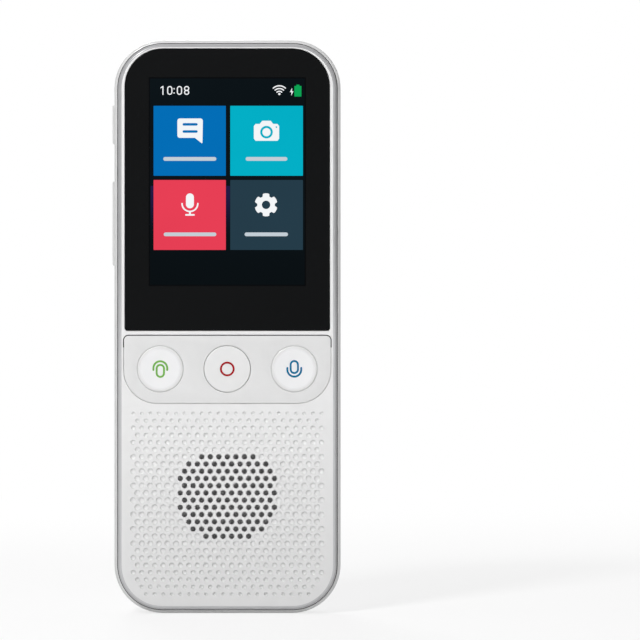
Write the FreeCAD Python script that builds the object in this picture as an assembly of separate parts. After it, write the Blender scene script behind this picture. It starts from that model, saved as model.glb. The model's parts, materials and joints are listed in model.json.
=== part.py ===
import FreeCAD, Part
import math
import os
from FreeCAD import Vector

# Handheld translator, millimetres. +Z runs up the long axis, the screen faces -Y,
# +X is to the right of someone looking at the screen, and the origin is the middle
# of the bottom end.

# Overall shell: the height is that of the lower face, the key panel and the glass together
body_width = 53.8
body_thickness = 12.6
lower_face_height = 49.9
body_corner_radius = 11.5
seam_gap = 0.1

# Front cover
cover_inset = 0.9
cover_side_height = 1.2
cover_plate = 2.0
cover_edge_radius = 0.9
cover_lip_depth = 1.2

# How far cuts run past the faces they open, and the sharpest bend of a ribbon's corner
cut_past = 1.0
hole_cut_past = 0.01
least_miter = 0.3

# Middle frame
frame_wall = 1.8
frame_edge_radius = 0.85

# Rear cover
rear_depth = 4.2
rear_inset = 0.25
rear_wall = 1.4
rear_lip_depth = 1.0
pillow_side = 10.85
pillow_bottom = 8.0
pillow_top = 4.5
pillow_corner_radius = 7.0
pillow_sections = 9

# Lips and snap beads that hold the three shells together
lip_wall = 1.0
lip_clearance = 0.1
bead_height = 0.25
bead_width = 0.5
bead_length = 8.0
bead_clearance = 0.08
bead_low = 30.0
bead_pitch = 37.0
bead_count = 3

# Cover glass and its adhesive
glass_side_margin = 2.6
glass_height = 66.9
glass_top_margin = 2.15
glass_thickness = 0.9
glass_top_radius = 9.0
glass_bottom_radius = 0.6
glass_clearance = 0.1
glass_recess = 0.05
glass_tape_thickness = 0.15
glass_tape_width = 1.6

# Display module
screen_height = 48.96
screen_drop = 7.07
lcd_side_margin = 2.95
lcd_top_margin = 2.3
lcd_bottom_margin = 7.5
lcd_cell_thickness = 1.3
backlight_thickness = 1.0
lcd_tray_thickness = 0.15
lcd_air_gap = 0.05
lcd_opening_clearance = 0.3
flex_passage = 1.5
flex_thickness = 0.12
lcd_flex_width = 10.0
touch_flex_width = 6.0
touch_flex_inset = 6.35
flex_landing = 3.0

# Button panel and the three front keys
panel_side_margin = 2.325
panel_height = 16.1
panel_gap = 1.15
panel_thickness = 0.6
panel_top_radius = 1.2
panel_bottom_radius = 8.0
panel_clearance = 0.1
key_radius = 5.5
key_inset = 8.675
key_drop = 7.95
key_clearance = 0.1
key_stand_out = 0.2
key_edge_radius = 0.25
key_dish_depth = 0.3
key_dish_radius = 4.6
key_flange_radius = 6.2
key_flange_thickness = 0.6
key_flange_gap = 0.1
key_travel = 0.25
switch_clearance = 0.03
key_switch_width = 4.0
key_plunger_radius = 1.0

# Dot grid and loudspeaker holes in the lower face
grid_gap = 2.4
row_spacing = 1.714
dot_pitch = 2.03
grid_rows = 26
grid_columns = 23
grille_radius = 12.0
grille_rows = 12
grille_shift = 0.3
hole_radius = 0.65

# Loudspeaker
speaker_radius = 13.0
speaker_wall = 1.2
speaker_basket_depth = 2.95
speaker_back_plate = 0.3
speaker_magnet_radius = 6.0
speaker_magnet_depth = 1.6
speaker_cone_drop = 0.9
speaker_cone_thickness = 0.2
speaker_coil_radius = 4.0
speaker_coil_wall = 0.4
mesh_thickness = 0.15
gasket_thickness = 0.6
gasket_width = 0.8
speaker_ring_clearance = 0.15
speaker_ring_wall = 0.8
speaker_ring_depth = 1.8
speaker_lead_radius = 0.3
speaker_lead_x = 9.0
speaker_lead_gap = 1.6

# Main board
board_side_gap = 1.6
board_thickness = 1.0
board_gap = 0.3
board_drop = 3.4
board_end_gap = 0.6
board_top_radius = 8.6
board_bottom_radius = 2.0

# Bosses and screws
boss_radius = 1.6
screw_radius = 0.7
screw_clearance = 0.02
screw_hole_clearance = 0.15
screw_head_radius = 1.25
screw_head_height = 0.7
screw_length = 2.2
screw_end_gap = 0.2
upper_boss_inset = 9.9
upper_boss_drop = 5.0
middle_boss_drop = 2.0
lower_boss_inset = 3.5
lower_boss_rise = 2.4

# Side keys
side_key_lift = 0.65
side_key_height = 2.4
side_key_clearance = 0.1
side_key_stand_out = 0.6
side_key_edge_radius = 0.45
side_flange_thickness = 0.5
side_flange_reach = 1.0
power_key_drop = 24.6
power_key_length = 9.3
power_flange_gap = 0.1
rocker_drop = 53.6
rocker_length = 20.1
rocker_flange_gap = 0.3
rocker_pin_radius = 0.4
rocker_pin_clearance = 0.05
rocker_pin_inset = 0.75
rocker_web_length = 2.4
rocker_ear_gap = 0.15
rocker_ear_thickness = 0.5
rocker_ear_board_gap = 0.25
rocker_switch_offset = 7.0
side_switch_length = 4.0
side_switch_depth = 2.4
side_switch_height = 1.5
side_plunger_width = 1.6
side_plunger_height = 0.8
side_plunger_reach = 0.5

# Battery
battery_side_margin = 8.9
battery_board_gap = 1.45
battery_rise = 3.5
battery_camera_gap = 10.1
battery_edge_radius = 1.4
battery_tape_thickness = 0.3
battery_tape_side_inset = 5.0
battery_tape_end_inset = 6.0
battery_connector_width = 5.0
battery_connector_length = 4.0
battery_connector_height = 2.9
battery_connector_x = 0.0
battery_lead_length = 2.0
battery_lead_radius = 0.4
battery_lead_pitch = 2.0

# Parts on the main board
can_width = 26.0
can_length = 18.0
can_height = 1.1
can_wall = 0.15
can_side_gap = 3.5
can_rise = 37.5
processor_side = 12.0
processor_inset = 7.0
memory_width = 9.0
memory_length = 11.0
memory_inset = 6.0
chip_height = 0.75
wireless_width = 10.0
wireless_length = 12.0
wireless_height = 1.1
wireless_side_gap = 4.0
wireless_drop = 35.7
power_chip_side = 5.0
power_chip_height = 0.8
power_chip_side_gap = 7.0
power_chip_rise = 15.5

# Charging board with its USB-C socket
usb_width = 8.94
usb_height = 3.26
usb_length = 7.35
usb_wall = 0.35
usb_recess = 0.3
usb_clearance = 0.1
usb_tongue_width = 6.7
usb_tongue_height = 0.7
usb_tongue_recess = 0.9
usb_plug_depth = 1.25
charge_board_lift = 1.85
charge_board_width = 22.0
charge_board_lip_gap = 0.2
charge_board_height = 10.1
charge_post_x = 9.2
charge_post_drop = 2.2
charge_screw_length = 2.6
link_flex_width = 8.0
link_flex_rise = 1.0
link_flex_offset = 0.25
link_flex_bend_drop = 3.5
link_flex_landing = 1.6
link_flex_tail = 5.0

# Microphones behind small holes at both ends
microphone_radius = 1.5
microphone_depth = 1.4
boot_wall = 0.5
microphone_lift = 0.55
bottom_microphone_inset = 13.4
top_microphone_inset = 6.0
port_radius = 0.5
board_notch_clearance = 0.3

# Camera, flash and their window
window_width = 31.5
window_height = 10.0
window_thickness = 0.85
window_recess = 0.05
window_clearance = 0.1
window_drop = 11.1
island_margin = 1.5
island_rise = 0.2
island_edge_radius = 0.18
camera_inset = 6.35
camera_side = 8.0
camera_body_depth = 4.1
camera_body_gap = 0.2
camera_barrel_radius = 2.4
camera_barrel_gap = 0.1
camera_hole_clearance = 0.6
camera_bore_radius = 1.2
camera_lens_depth = 0.3
camera_flex_width = 5.0
camera_flex_out = 1.4
flash_spacing = 6.5
flash_side = 2.0
flash_height = 0.6
light_pipe_radius = 1.1
light_pipe_clearance = 0.1

# Wireless antenna
antenna_width = 11.0
antenna_length = 6.0
antenna_thickness = 0.15
antenna_inset = 18.4
antenna_drop = 20.2
antenna_lead_radius = 0.4
antenna_socket_radius = 1.0
antenna_socket_height = 0.6

# Planes and places that follow from the sizes above
panel_bottom_z = lower_face_height
panel_top_z = panel_bottom_z + panel_height
glass_bottom_z = panel_top_z + panel_gap
glass_top_z = glass_bottom_z + glass_height
body_height = glass_top_z + glass_top_margin
glass_width = body_width - 2 * glass_side_margin
lcd_width = glass_width - 2 * lcd_side_margin
touch_flex_x = lcd_width / 2 - touch_flex_inset
panel_width = body_width - 2 * panel_side_margin
key_pitch = panel_width / 2 - key_inset

front_y = -body_thickness / 2
back_y = body_thickness / 2
frame_front_y = front_y + cover_side_height + seam_gap
frame_back_y = back_y - rear_depth - seam_gap
rear_start_y = back_y - rear_depth
rear_inner_y = back_y - rear_wall
cover_inner_y = front_y + cover_plate
cover_lip_y = cover_inner_y + cover_lip_depth
island_y = back_y + island_rise

lip_inset = frame_wall + lip_clearance
glass_front_y = front_y + glass_recess
glass_back_y = glass_front_y + glass_thickness
glass_seat_y = glass_back_y + glass_tape_thickness

screen_top_z = glass_top_z - screen_drop
lcd_top_z = screen_top_z + lcd_top_margin
lcd_bottom_z = screen_top_z - screen_height - lcd_bottom_margin
lcd_height = lcd_top_z - lcd_bottom_z
lcd_cell_y = glass_back_y + lcd_air_gap
backlight_y = lcd_cell_y + lcd_cell_thickness
lcd_tray_y = backlight_y + backlight_thickness
lcd_back_y = lcd_tray_y + lcd_tray_thickness

board_front_y = lcd_back_y + board_gap
board_back_y = board_front_y + board_thickness
board_top_z = body_height - frame_wall - board_end_gap
board_bottom_z = panel_bottom_z - board_drop
board_width = body_width - 2 * (frame_wall + board_side_gap)

key_z = panel_top_z - key_drop
key_top_y = front_y - key_stand_out
key_flange_y = cover_inner_y + key_flange_gap
key_back_y = key_flange_y + key_flange_thickness
key_switch_top_y = key_back_y + key_travel + switch_clearance

first_row_z = panel_bottom_z - grid_gap
grille_z = first_row_z - (grid_rows / 2 - 1.5) * row_spacing + grille_shift

mesh_y = cover_inner_y
gasket_y = mesh_y + mesh_thickness
speaker_y = gasket_y + gasket_thickness
speaker_back_y = speaker_y + speaker_basket_depth
magnet_back_y = speaker_back_y + speaker_magnet_depth

frame_inner_x = body_width / 2 - frame_wall
side_key_y = board_back_y + side_key_lift
power_key_low = body_height - power_key_drop
rocker_low = body_height - rocker_drop

window_z = body_height - window_drop
camera_x = window_width / 2 - camera_inset
flash_x = camera_x - flash_spacing
battery_width = body_width - 2 * battery_side_margin
battery_back_y = rear_inner_y - battery_tape_thickness
battery_front_y = board_back_y + battery_board_gap
battery_bottom_z = board_bottom_z + battery_rise
battery_top_z = window_z - window_height / 2 - battery_camera_gap
battery_length = battery_top_z - battery_bottom_z

can_x = can_width / 2 + can_side_gap - board_width / 2
can_z = board_bottom_z + can_rise
processor_x = can_x - can_width / 2 + processor_inset
memory_x = can_x + can_width / 2 - memory_inset
wireless_x = board_width / 2 - wireless_side_gap - wireless_width / 2
wireless_z = board_top_z - wireless_drop
power_chip_x = board_width / 2 - power_chip_side_gap - power_chip_side / 2
power_chip_z = board_bottom_z + power_chip_rise
antenna_x = antenna_inset - body_width / 2
antenna_z = body_height - antenna_drop

window_back_y = island_y - window_recess - window_thickness
camera_top_y = rear_inner_y - camera_body_gap
camera_base_y = camera_top_y - camera_body_depth

charge_board_y = board_back_y + charge_board_lift
charge_board_back_y = charge_board_y + board_thickness
charge_board_bottom_z = lip_inset + lip_wall + charge_board_lip_gap
charge_board_top_z = charge_board_bottom_z + charge_board_height
charge_post_z = charge_board_top_z - charge_post_drop
usb_y = charge_board_y - usb_height / 2
microphone_y = board_back_y + microphone_lift
bottom_microphone_x = body_width / 2 - bottom_microphone_inset
upper_boss_x = body_width / 2 - upper_boss_inset
lower_boss_x = board_width / 2 - lower_boss_inset
middle_boss_x = key_pitch / 2
top_microphone_x = top_microphone_inset - upper_boss_x
link_flex_bend_z = board_bottom_z - link_flex_bend_drop

board_boss_places = []
for side in (-1, 1):
    board_boss_places.append((side * upper_boss_x, body_height - upper_boss_drop))
    board_boss_places.append((side * middle_boss_x, lcd_bottom_z - flex_passage - middle_boss_drop))
    board_boss_places.append((side * lower_boss_x, board_bottom_z + lower_boss_rise))
charge_boss_places = [(-charge_post_x, charge_post_z), (charge_post_x, charge_post_z)]
key_places = {"left": -key_pitch, "centre": 0.0, "right": key_pitch}


def outline(half_width, low, high, top_radius, bottom_radius, y):
    """A closed wire in the plane at y: an upright rectangle with rounded corners."""
    corners = []
    for x_side, z_side in ((1, -1), (1, 1), (-1, 1), (-1, -1)):
        radius = top_radius if z_side > 0 else bottom_radius
        end_z = high if z_side > 0 else low
        centre = Vector(x_side * (half_width - radius), y, end_z - z_side * radius)
        on_side = centre + Vector(x_side * radius, 0, 0)
        on_end = centre + Vector(0, 0, z_side * radius)
        middle = centre + Vector(x_side, 0, z_side) * (radius / math.sqrt(2))
        first, last = (on_end, on_side) if x_side * z_side < 0 else (on_side, on_end)
        corners.append((first, middle, last))
    edges = []
    for number, (first, middle, last) in enumerate(corners):
        before = corners[number - 1][2]
        if before.distanceToPoint(first) > 1e-6:
            edges.append(Part.LineSegment(before, first).toShape())
        edges.append(Part.Arc(first, middle, last).toShape())
    return Part.Wire(edges)


def slab(half_width, low, high, top_radius, bottom_radius, front, back):
    """A flat plate with rounded corners, from the plane front to the plane back."""
    wire = outline(half_width, low, high, top_radius, bottom_radius, front)
    return Part.Face(wire).extrude(Vector(0, back - front, 0))


def shell_slab(inset, front, back):
    """A plate that follows the body's outline, drawn in by inset."""
    radius = body_corner_radius - inset
    return slab(body_width / 2 - inset, inset, body_height - inset, radius, radius, front, back)


def block(x_low, x_high, front, back, low, high):
    """A box between the given planes."""
    return Part.makeBox(x_high - x_low, back - front, high - low, Vector(x_low, front, low))


def centred_block(x, z, width, length, front, back):
    """A box centred at x and z, from the plane front to the plane back."""
    return block(x - width / 2, x + width / 2, front, back, z - length / 2, z + length / 2)


def disc(radius, x, z, front, back):
    """A cylinder along Y."""
    return Part.makeCylinder(radius, back - front, Vector(x, front, z), Vector(0, 1, 0))


def post(radius, x, y, low, high):
    """A cylinder along Z."""
    return Part.makeCylinder(radius, high - low, Vector(x, y, low), Vector(0, 0, 1))


def ring(outer_radius, inner_radius, x, z, front, back):
    """A round tube along Y."""
    return disc(outer_radius, x, z, front, back).cut(disc(inner_radius, x, z, front, back))


def fuse_all(first, others):
    """One solid made of the first shape and the others."""
    return first.multiFuse(others).removeSplitter()


def edges_at_y(shape, y):
    """The edges that lie wholly in the plane at y."""
    found = []
    for edge in shape.Edges:
        box = edge.BoundBox
        if abs(box.YMin - y) < 1e-4 and abs(box.YMax - y) < 1e-4:
            found.append(edge)
    return found


def ribbon(points, x, width):
    """A thin flexible strip: points are (y, z) along its middle, width is along X."""
    half = flex_thickness / 2
    left = []
    right = []
    for number, (y, z) in enumerate(points):
        before = points[max(number - 1, 0)]
        after = points[min(number + 1, len(points) - 1)]
        run_in = Vector(0, y - before[0], z - before[1])
        run_out = Vector(0, after[0] - y, after[1] - z)
        if run_in.Length == 0:
            run_in = run_out
        if run_out.Length == 0:
            run_out = run_in
        run_in.normalize()
        run_out.normalize()
        normal = Vector(0, -(run_in.z + run_out.z), run_in.y + run_out.y).normalize()
        reach = half / max(normal.dot(Vector(0, -run_in.z, run_in.y)), least_miter)
        left.append(Vector(x - width / 2, y, z) + normal * reach)
        right.append(Vector(x - width / 2, y, z) - normal * reach)
    corners = left + right[::-1]
    wire = Part.makePolygon(corners + [corners[0]])
    return Part.Face(wire).extrude(Vector(width, 0, 0))


def pillow(inset, front, back):
    """The soft back: rounded outlines that draw in along a quarter ellipse."""
    sections = []
    for number in range(pillow_sections):
        angle = math.pi / 2 * number / (pillow_sections - 1)
        drawn = 1 - math.cos(angle)
        y = front + (back - front) * math.sin(angle)
        corner = body_corner_radius - inset
        radius = corner + (pillow_corner_radius - corner) * drawn
        half_width = body_width / 2 - inset - pillow_side * drawn
        low = inset + pillow_bottom * drawn
        high = body_height - inset - pillow_top * drawn
        sections.append(outline(half_width, low, high, radius, radius, y))
    return Part.makeLoft(sections, True, False)


def snap_beads(middle_y, grown):
    """The low ridges on the long sides of a lip, or with grown the grooves they snap into."""
    ridges = []
    lip_x = body_width / 2 - lip_inset
    for side in (-1, 1):
        for number in range(bead_count):
            low = bead_low + number * bead_pitch - grown
            high = low + bead_length + 2 * grown
            inner = lip_x - lip_wall / 2
            outer = lip_x + bead_height + grown
            half = bead_width / 2 + grown
            x_low, x_high = sorted((side * inner, side * outer))
            ridges.append(block(x_low, x_high, middle_y - half, middle_y + half, low, high))
    return ridges


def stadium(width, height, x, z, front, back):
    """A plate with two straight sides and round ends, longest along X."""
    radius = height / 2
    reach = width / 2 - radius
    middle = block(x - reach, x + reach, front, back, z - radius, z + radius)
    ends = [disc(radius, x - reach, z, front, back), disc(radius, x + reach, z, front, back)]
    return fuse_all(middle, ends)


def upright_stadium(width, height, y, low, high):
    """A bar along Z whose section is a stadium, longest along X."""
    radius = height / 2
    reach = width / 2 - radius
    middle = block(-reach, reach, y - radius, y + radius, low, high)
    ends = [post(radius, -reach, y, low, high), post(radius, reach, y, low, high)]
    return fuse_all(middle, ends)


def grille_places():
    """The dots of the grid that lie in the loudspeaker's circle, as (x, z)."""
    places = []
    for row in range(grid_rows):
        columns = grid_columns - row % 2
        z = first_row_z - row * row_spacing
        for column in range(columns):
            x = (column - (columns - 1) / 2) * dot_pitch
            in_rows = abs(z - grille_z) <= grille_rows / 2 * row_spacing
            if in_rows and math.hypot(x, z - grille_z) <= grille_radius:
                places.append((x, z))
    return places


front_bead_y = (cover_inner_y + cover_lip_y) / 2
rear_bead_y = rear_start_y - rear_lip_depth / 2


def front_cover():
    plate = shell_slab(cover_inset, front_y, front_y + cover_side_height)
    plate = plate.makeFillet(cover_edge_radius, edges_at_y(plate, front_y))
    inner_plate = shell_slab(lip_inset, front_y + cover_side_height, cover_inner_y)
    lip = shell_slab(lip_inset, cover_inner_y, cover_lip_y)
    lip = lip.cut(shell_slab(lip_inset + lip_wall, cover_inner_y, cover_lip_y))
    additions = [inner_plate, lip] + snap_beads(front_bead_y, 0)
    for x, z in board_boss_places:
        additions.append(disc(boss_radius, x, z, cover_inner_y, board_front_y))
    for x, z in charge_boss_places:
        additions.append(disc(boss_radius, x, z, cover_inner_y, charge_board_y))
    ring_inner = speaker_radius + speaker_ring_clearance
    ring_outer = ring_inner + speaker_ring_wall
    ring_back = cover_inner_y + speaker_ring_depth
    additions.append(ring(ring_outer, ring_inner, 0, grille_z, cover_inner_y, ring_back))
    cover = fuse_all(plate, additions)

    cuts = []
    cuts.append(slab(glass_width / 2 + glass_clearance, glass_bottom_z - glass_clearance,
                     glass_top_z + glass_clearance, glass_top_radius + glass_clearance,
                     glass_bottom_radius + glass_clearance, front_y - cut_past, glass_seat_y))
    opening_half = lcd_width / 2 + lcd_opening_clearance
    cuts.append(block(-opening_half, opening_half, front_y - cut_past, cover_inner_y,
                      lcd_bottom_z - flex_passage, lcd_top_z + lcd_opening_clearance))
    cuts.append(slab(panel_width / 2 + panel_clearance, panel_bottom_z - panel_clearance,
                     panel_top_z + panel_clearance, panel_top_radius + panel_clearance,
                     panel_bottom_radius + panel_clearance, front_y - cut_past, front_y + panel_thickness))
    for x in key_places.values():
        cuts.append(disc(key_radius + key_clearance, x, key_z, front_y - cut_past, cover_inner_y))
    for x, z in board_boss_places:
        cuts.append(disc(screw_radius + screw_clearance, x, z, board_front_y - screw_length, board_front_y))
    for x, z in charge_boss_places:
        depth = charge_board_y - charge_screw_length
        cuts.append(disc(screw_radius + screw_clearance, x, z, depth, charge_board_y))
    for x, z in grille_places():
        cuts.append(disc(hole_radius, x, z, front_y - cut_past, cover_inner_y + hole_cut_past))
    return cover.cut(cuts)


def middle_frame():
    frame = shell_slab(0, frame_front_y, frame_back_y)
    frame = frame.makeFillet(frame_edge_radius, edges_at_y(frame, frame_front_y))
    frame = frame.cut(shell_slab(frame_wall, frame_front_y - cut_past, frame_back_y + cut_past))
    ears = []
    pivot_z = rocker_low + rocker_length / 2
    for side in (-1, 1):
        near = side_key_height / 2 + rocker_ear_gap
        y_low, y_high = sorted((side_key_y + side * near,
                                side_key_y + side * (near + rocker_ear_thickness)))
        ears.append(block(-frame_inner_x - frame_wall / 2, rocker_ear_x(), y_low, y_high,
                          pivot_z - rocker_web_length / 2, pivot_z + rocker_web_length / 2))
    frame = fuse_all(frame, ears)
    cuts = snap_beads(front_bead_y, bead_clearance) + snap_beads(rear_bead_y, bead_clearance)
    cuts.append(rocker_pin_shape(rocker_pin_radius))
    for low, length in ((power_key_low, power_key_length), (rocker_low, rocker_length)):
        half = side_key_height / 2 + side_key_clearance
        cuts.append(block(-body_width / 2 - cut_past, -frame_inner_x,
                          side_key_y - half, side_key_y + half,
                          low - side_key_clearance, low + length + side_key_clearance))
    cuts.append(upright_stadium(usb_width + 2 * usb_clearance, usb_height + 2 * usb_clearance,
                                usb_y, -cut_past, frame_wall + cut_past))
    cuts.append(post(port_radius, bottom_microphone_x, microphone_y, -cut_past, frame_wall + cut_past))
    cuts.append(post(port_radius, top_microphone_x, microphone_y,
                     body_height - frame_wall - cut_past, body_height + cut_past))
    return frame.cut(cuts)


def rear_cover():
    outer = pillow(rear_inset, rear_start_y, back_y)
    hollow = pillow(rear_inset + rear_wall, rear_start_y, rear_inner_y)
    lip = shell_slab(lip_inset, rear_start_y - rear_lip_depth, rear_start_y)
    collar_y = rear_start_y + lip_wall
    collar = shell_slab(rear_inset + rear_wall - seam_gap, rear_start_y, collar_y)
    bore = shell_slab(lip_inset + lip_wall, rear_start_y - rear_lip_depth - cut_past, collar_y + cut_past)
    island = stadium(window_width + 2 * island_margin, window_height + 2 * island_margin,
                     0, window_z, window_back_y, island_y)
    island = island.makeFillet(island_edge_radius, edges_at_y(island, island_y))
    additions = [lip.cut(bore), collar.cut(bore), island] + snap_beads(rear_bead_y, 0)
    cover = fuse_all(outer.cut(hollow), additions)
    pocket = stadium(window_width + 2 * window_clearance, window_height + 2 * window_clearance,
                     0, window_z, window_back_y, island_y + cut_past)
    camera_hole = disc(camera_barrel_radius + camera_hole_clearance, camera_x, window_z,
                       rear_inner_y - cut_past, window_back_y)
    pipe_hole = disc(light_pipe_radius + light_pipe_clearance, flash_x, window_z,
                     rear_inner_y - cut_past, window_back_y)
    return cover.cut([pocket, camera_hole, pipe_hole])


def touch_glass():
    return slab(glass_width / 2, glass_bottom_z, glass_top_z, glass_top_radius,
                glass_bottom_radius, glass_front_y, glass_back_y)


def glass_tape():
    outer = slab(glass_width / 2, glass_bottom_z, glass_top_z, glass_top_radius,
                 glass_bottom_radius, glass_back_y, glass_seat_y)
    half = glass_width / 2 - glass_tape_width
    hole = block(-half, half, glass_back_y, glass_seat_y,
                 glass_bottom_z + glass_tape_width, lcd_top_z + lcd_opening_clearance)
    return outer.cut(hole)


def lcd_layer(front, back):
    half = lcd_width / 2
    return block(-half, half, front, back, lcd_bottom_z, lcd_top_z)


def lcd_flex():
    land_y = board_front_y - flex_thickness / 2
    leave_y = (lcd_cell_y + backlight_y) / 2
    bend_z = lcd_bottom_z - flex_passage / 2
    points = [(leave_y, lcd_bottom_z), (leave_y, bend_z), (land_y, bend_z - flex_passage),
              (land_y, bend_z - flex_passage - flex_landing)]
    return ribbon(points, 0, lcd_flex_width)


def touch_flex():
    land_y = board_front_y - flex_thickness / 2
    drop_z = lcd_bottom_z - flex_passage / 2
    points = [(glass_back_y, drop_z), (land_y, drop_z), (land_y, drop_z - flex_landing)]
    return ribbon(points, touch_flex_x, touch_flex_width)


def button_panel():
    panel = slab(panel_width / 2, panel_bottom_z, panel_top_z, panel_top_radius,
                 panel_bottom_radius, front_y, front_y + panel_thickness)
    holes = []
    for x in key_places.values():
        holes.append(disc(key_radius + key_clearance, x, key_z, front_y - cut_past, front_y + cut_past))
    return panel.cut(holes)


def front_key(x, dished):
    cap = disc(key_radius, x, key_z, key_top_y, key_flange_y)
    cap = cap.makeFillet(key_edge_radius, edges_at_y(cap, key_top_y))
    key = cap.fuse(disc(key_flange_radius, x, key_z, key_flange_y, key_back_y))
    if dished:
        ball_radius = (key_dish_radius ** 2 + key_dish_depth ** 2) / (2 * key_dish_depth)
        centre = Vector(x, key_top_y + key_dish_depth - ball_radius, key_z)
        key = key.cut(Part.makeSphere(ball_radius, centre))
    return key


def key_switch(x):
    base_y = (key_switch_top_y + board_front_y) / 2
    base = centred_block(x, key_z, key_switch_width, key_switch_width, base_y, board_front_y)
    return base.fuse(disc(key_plunger_radius, x, key_z, key_switch_top_y, base_y))


def side_key(low, length, flange_gap):
    """The key's outer block and the flange that keeps it in the frame."""
    outer_x = -body_width / 2 - side_key_stand_out
    flange_x = -frame_inner_x + flange_gap
    half = side_key_height / 2
    cap = block(outer_x, flange_x, side_key_y - half, side_key_y + half, low, low + length)
    edges = []
    for edge in cap.Edges:
        if abs(edge.BoundBox.XMax - outer_x) < 1e-4:
            edges.append(edge)
    cap = cap.makeFillet(side_key_edge_radius, edges)
    flange = block(flange_x, flange_x + side_flange_thickness, side_key_y - half, side_key_y + half,
                   low - side_flange_reach, low + length + side_flange_reach)
    return cap.fuse(flange)


def rocker_pin_x():
    return -frame_inner_x + rocker_pin_inset


def rocker_ear_x():
    return -board_width / 2 - rocker_ear_board_gap


def rocker_pin_shape(radius):
    reach = side_key_height / 2 + rocker_ear_gap + rocker_ear_thickness
    pivot_z = rocker_low + rocker_length / 2
    return disc(radius, rocker_pin_x(), pivot_z, side_key_y - reach, side_key_y + reach)


def volume_rocker():
    half = side_key_height / 2
    pivot_z = rocker_low + rocker_length / 2
    web_x = -frame_inner_x + rocker_flange_gap
    web = block(web_x, rocker_ear_x(), side_key_y - half, side_key_y + half,
                pivot_z - rocker_web_length / 2, pivot_z + rocker_web_length / 2)
    rocker = side_key(rocker_low, rocker_length, rocker_flange_gap)
    rocker = fuse_all(rocker, [web])
    return rocker.cut(rocker_pin_shape(rocker_pin_radius + rocker_pin_clearance))


def side_switch(z, flange_gap, travel):
    """A side-acting switch on the back of the board, its plunger just short of the key."""
    tip_x = -frame_inner_x + flange_gap + side_flange_thickness + travel + switch_clearance
    body_x = tip_x + side_plunger_reach
    middle_y = board_back_y + side_switch_height / 2
    body = block(body_x, body_x + side_switch_depth, board_back_y, board_back_y + side_switch_height,
                 z - side_switch_length / 2, z + side_switch_length / 2)
    plunger = block(tip_x, body_x, middle_y - side_plunger_height / 2, middle_y + side_plunger_height / 2,
                    z - side_plunger_width / 2, z + side_plunger_width / 2)
    return body.fuse(plunger)


def main_board():
    board = slab(board_width / 2, board_bottom_z, board_top_z, board_top_radius,
                 board_bottom_radius, board_front_y, board_back_y)
    cuts = []
    for x, z in board_boss_places:
        cuts.append(disc(screw_radius + screw_hole_clearance, x, z,
                         board_front_y - cut_past, board_back_y + cut_past))
    notch_half = microphone_radius + boot_wall + board_notch_clearance
    notch_z = body_height - frame_wall - boot_wall - microphone_depth - board_notch_clearance
    cuts.append(block(top_microphone_x - notch_half, top_microphone_x + notch_half,
                      board_front_y - cut_past, board_back_y + cut_past, notch_z, board_top_z + cut_past))
    return board.cut(cuts)


def screws(places, board_y, length):
    """Self-tapping screws through a board into the front cover's bosses."""
    shapes = []
    for x, z in places:
        head = disc(screw_head_radius, x, z, board_y, board_y + screw_head_height)
        shank = disc(screw_radius, x, z, board_y - board_thickness - length, board_y)
        shapes.append(head.fuse(shank))
    return Part.makeCompound(shapes)


def shield_can():
    top_y = board_back_y + can_height
    outer = centred_block(can_x, can_z, can_width, can_length, board_back_y, top_y)
    inner = centred_block(can_x, can_z, can_width - 2 * can_wall, can_length - 2 * can_wall,
                          board_back_y, top_y - can_wall)
    return outer.cut(inner)


def battery_cell():
    half = battery_width / 2
    cell = block(-half, half, battery_front_y, battery_back_y, battery_bottom_z, battery_top_z)
    edges = []
    for edge in cell.Edges:
        box = edge.BoundBox
        if box.ZMax - box.ZMin > battery_length / 2:
            edges.append(edge)
    return cell.makeFillet(battery_edge_radius, edges)


def battery_tape():
    half = battery_width / 2 - battery_tape_side_inset
    return block(-half, half, battery_back_y, rear_inner_y,
                 battery_bottom_z + battery_tape_end_inset, battery_top_z - battery_tape_end_inset)


def battery_connector():
    low = battery_top_z + battery_lead_length
    half = battery_connector_width / 2
    return block(battery_connector_x - half, battery_connector_x + half, board_back_y,
                 board_back_y + battery_connector_height, low, low + battery_connector_length)


def battery_leads():
    lead_y = board_back_y + battery_connector_height - 2 * battery_lead_radius
    leads = []
    for side in (-1, 1):
        x = battery_connector_x + side * battery_lead_pitch / 2
        leads.append(post(battery_lead_radius, x, lead_y, battery_top_z,
                          battery_top_z + battery_lead_length))
    return Part.makeCompound(leads)


def speaker_frame():
    inner = speaker_radius - speaker_wall
    basket = ring(speaker_radius, inner, 0, grille_z, speaker_y, speaker_back_y)
    plate = disc(speaker_radius, 0, grille_z, speaker_back_y - speaker_back_plate, speaker_back_y)
    return fuse_all(basket, [plate])


def speaker_cone():
    """A shallow paper cone with a flat middle, turned about the speaker's axis."""
    rim = speaker_radius - speaker_wall
    rim_y = speaker_y + speaker_cone_thickness
    low_y = rim_y + speaker_cone_drop
    thick = speaker_cone_thickness
    points = [(0, low_y), (speaker_coil_radius, low_y), (rim, rim_y), (rim, rim_y + thick),
              (speaker_coil_radius, low_y + thick), (0, low_y + thick)]
    corners = [Vector(radius, y, grille_z) for radius, y in points]
    profile = Part.Face(Part.makePolygon(corners + [corners[0]]))
    return profile.revolve(Vector(0, 0, grille_z), Vector(0, 1, 0), 360)


def speaker_coil():
    front = speaker_y + 2 * speaker_cone_thickness + speaker_cone_drop
    back = speaker_back_y - speaker_back_plate
    return ring(speaker_coil_radius, speaker_coil_radius - speaker_coil_wall, 0, grille_z, front, back)


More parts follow.
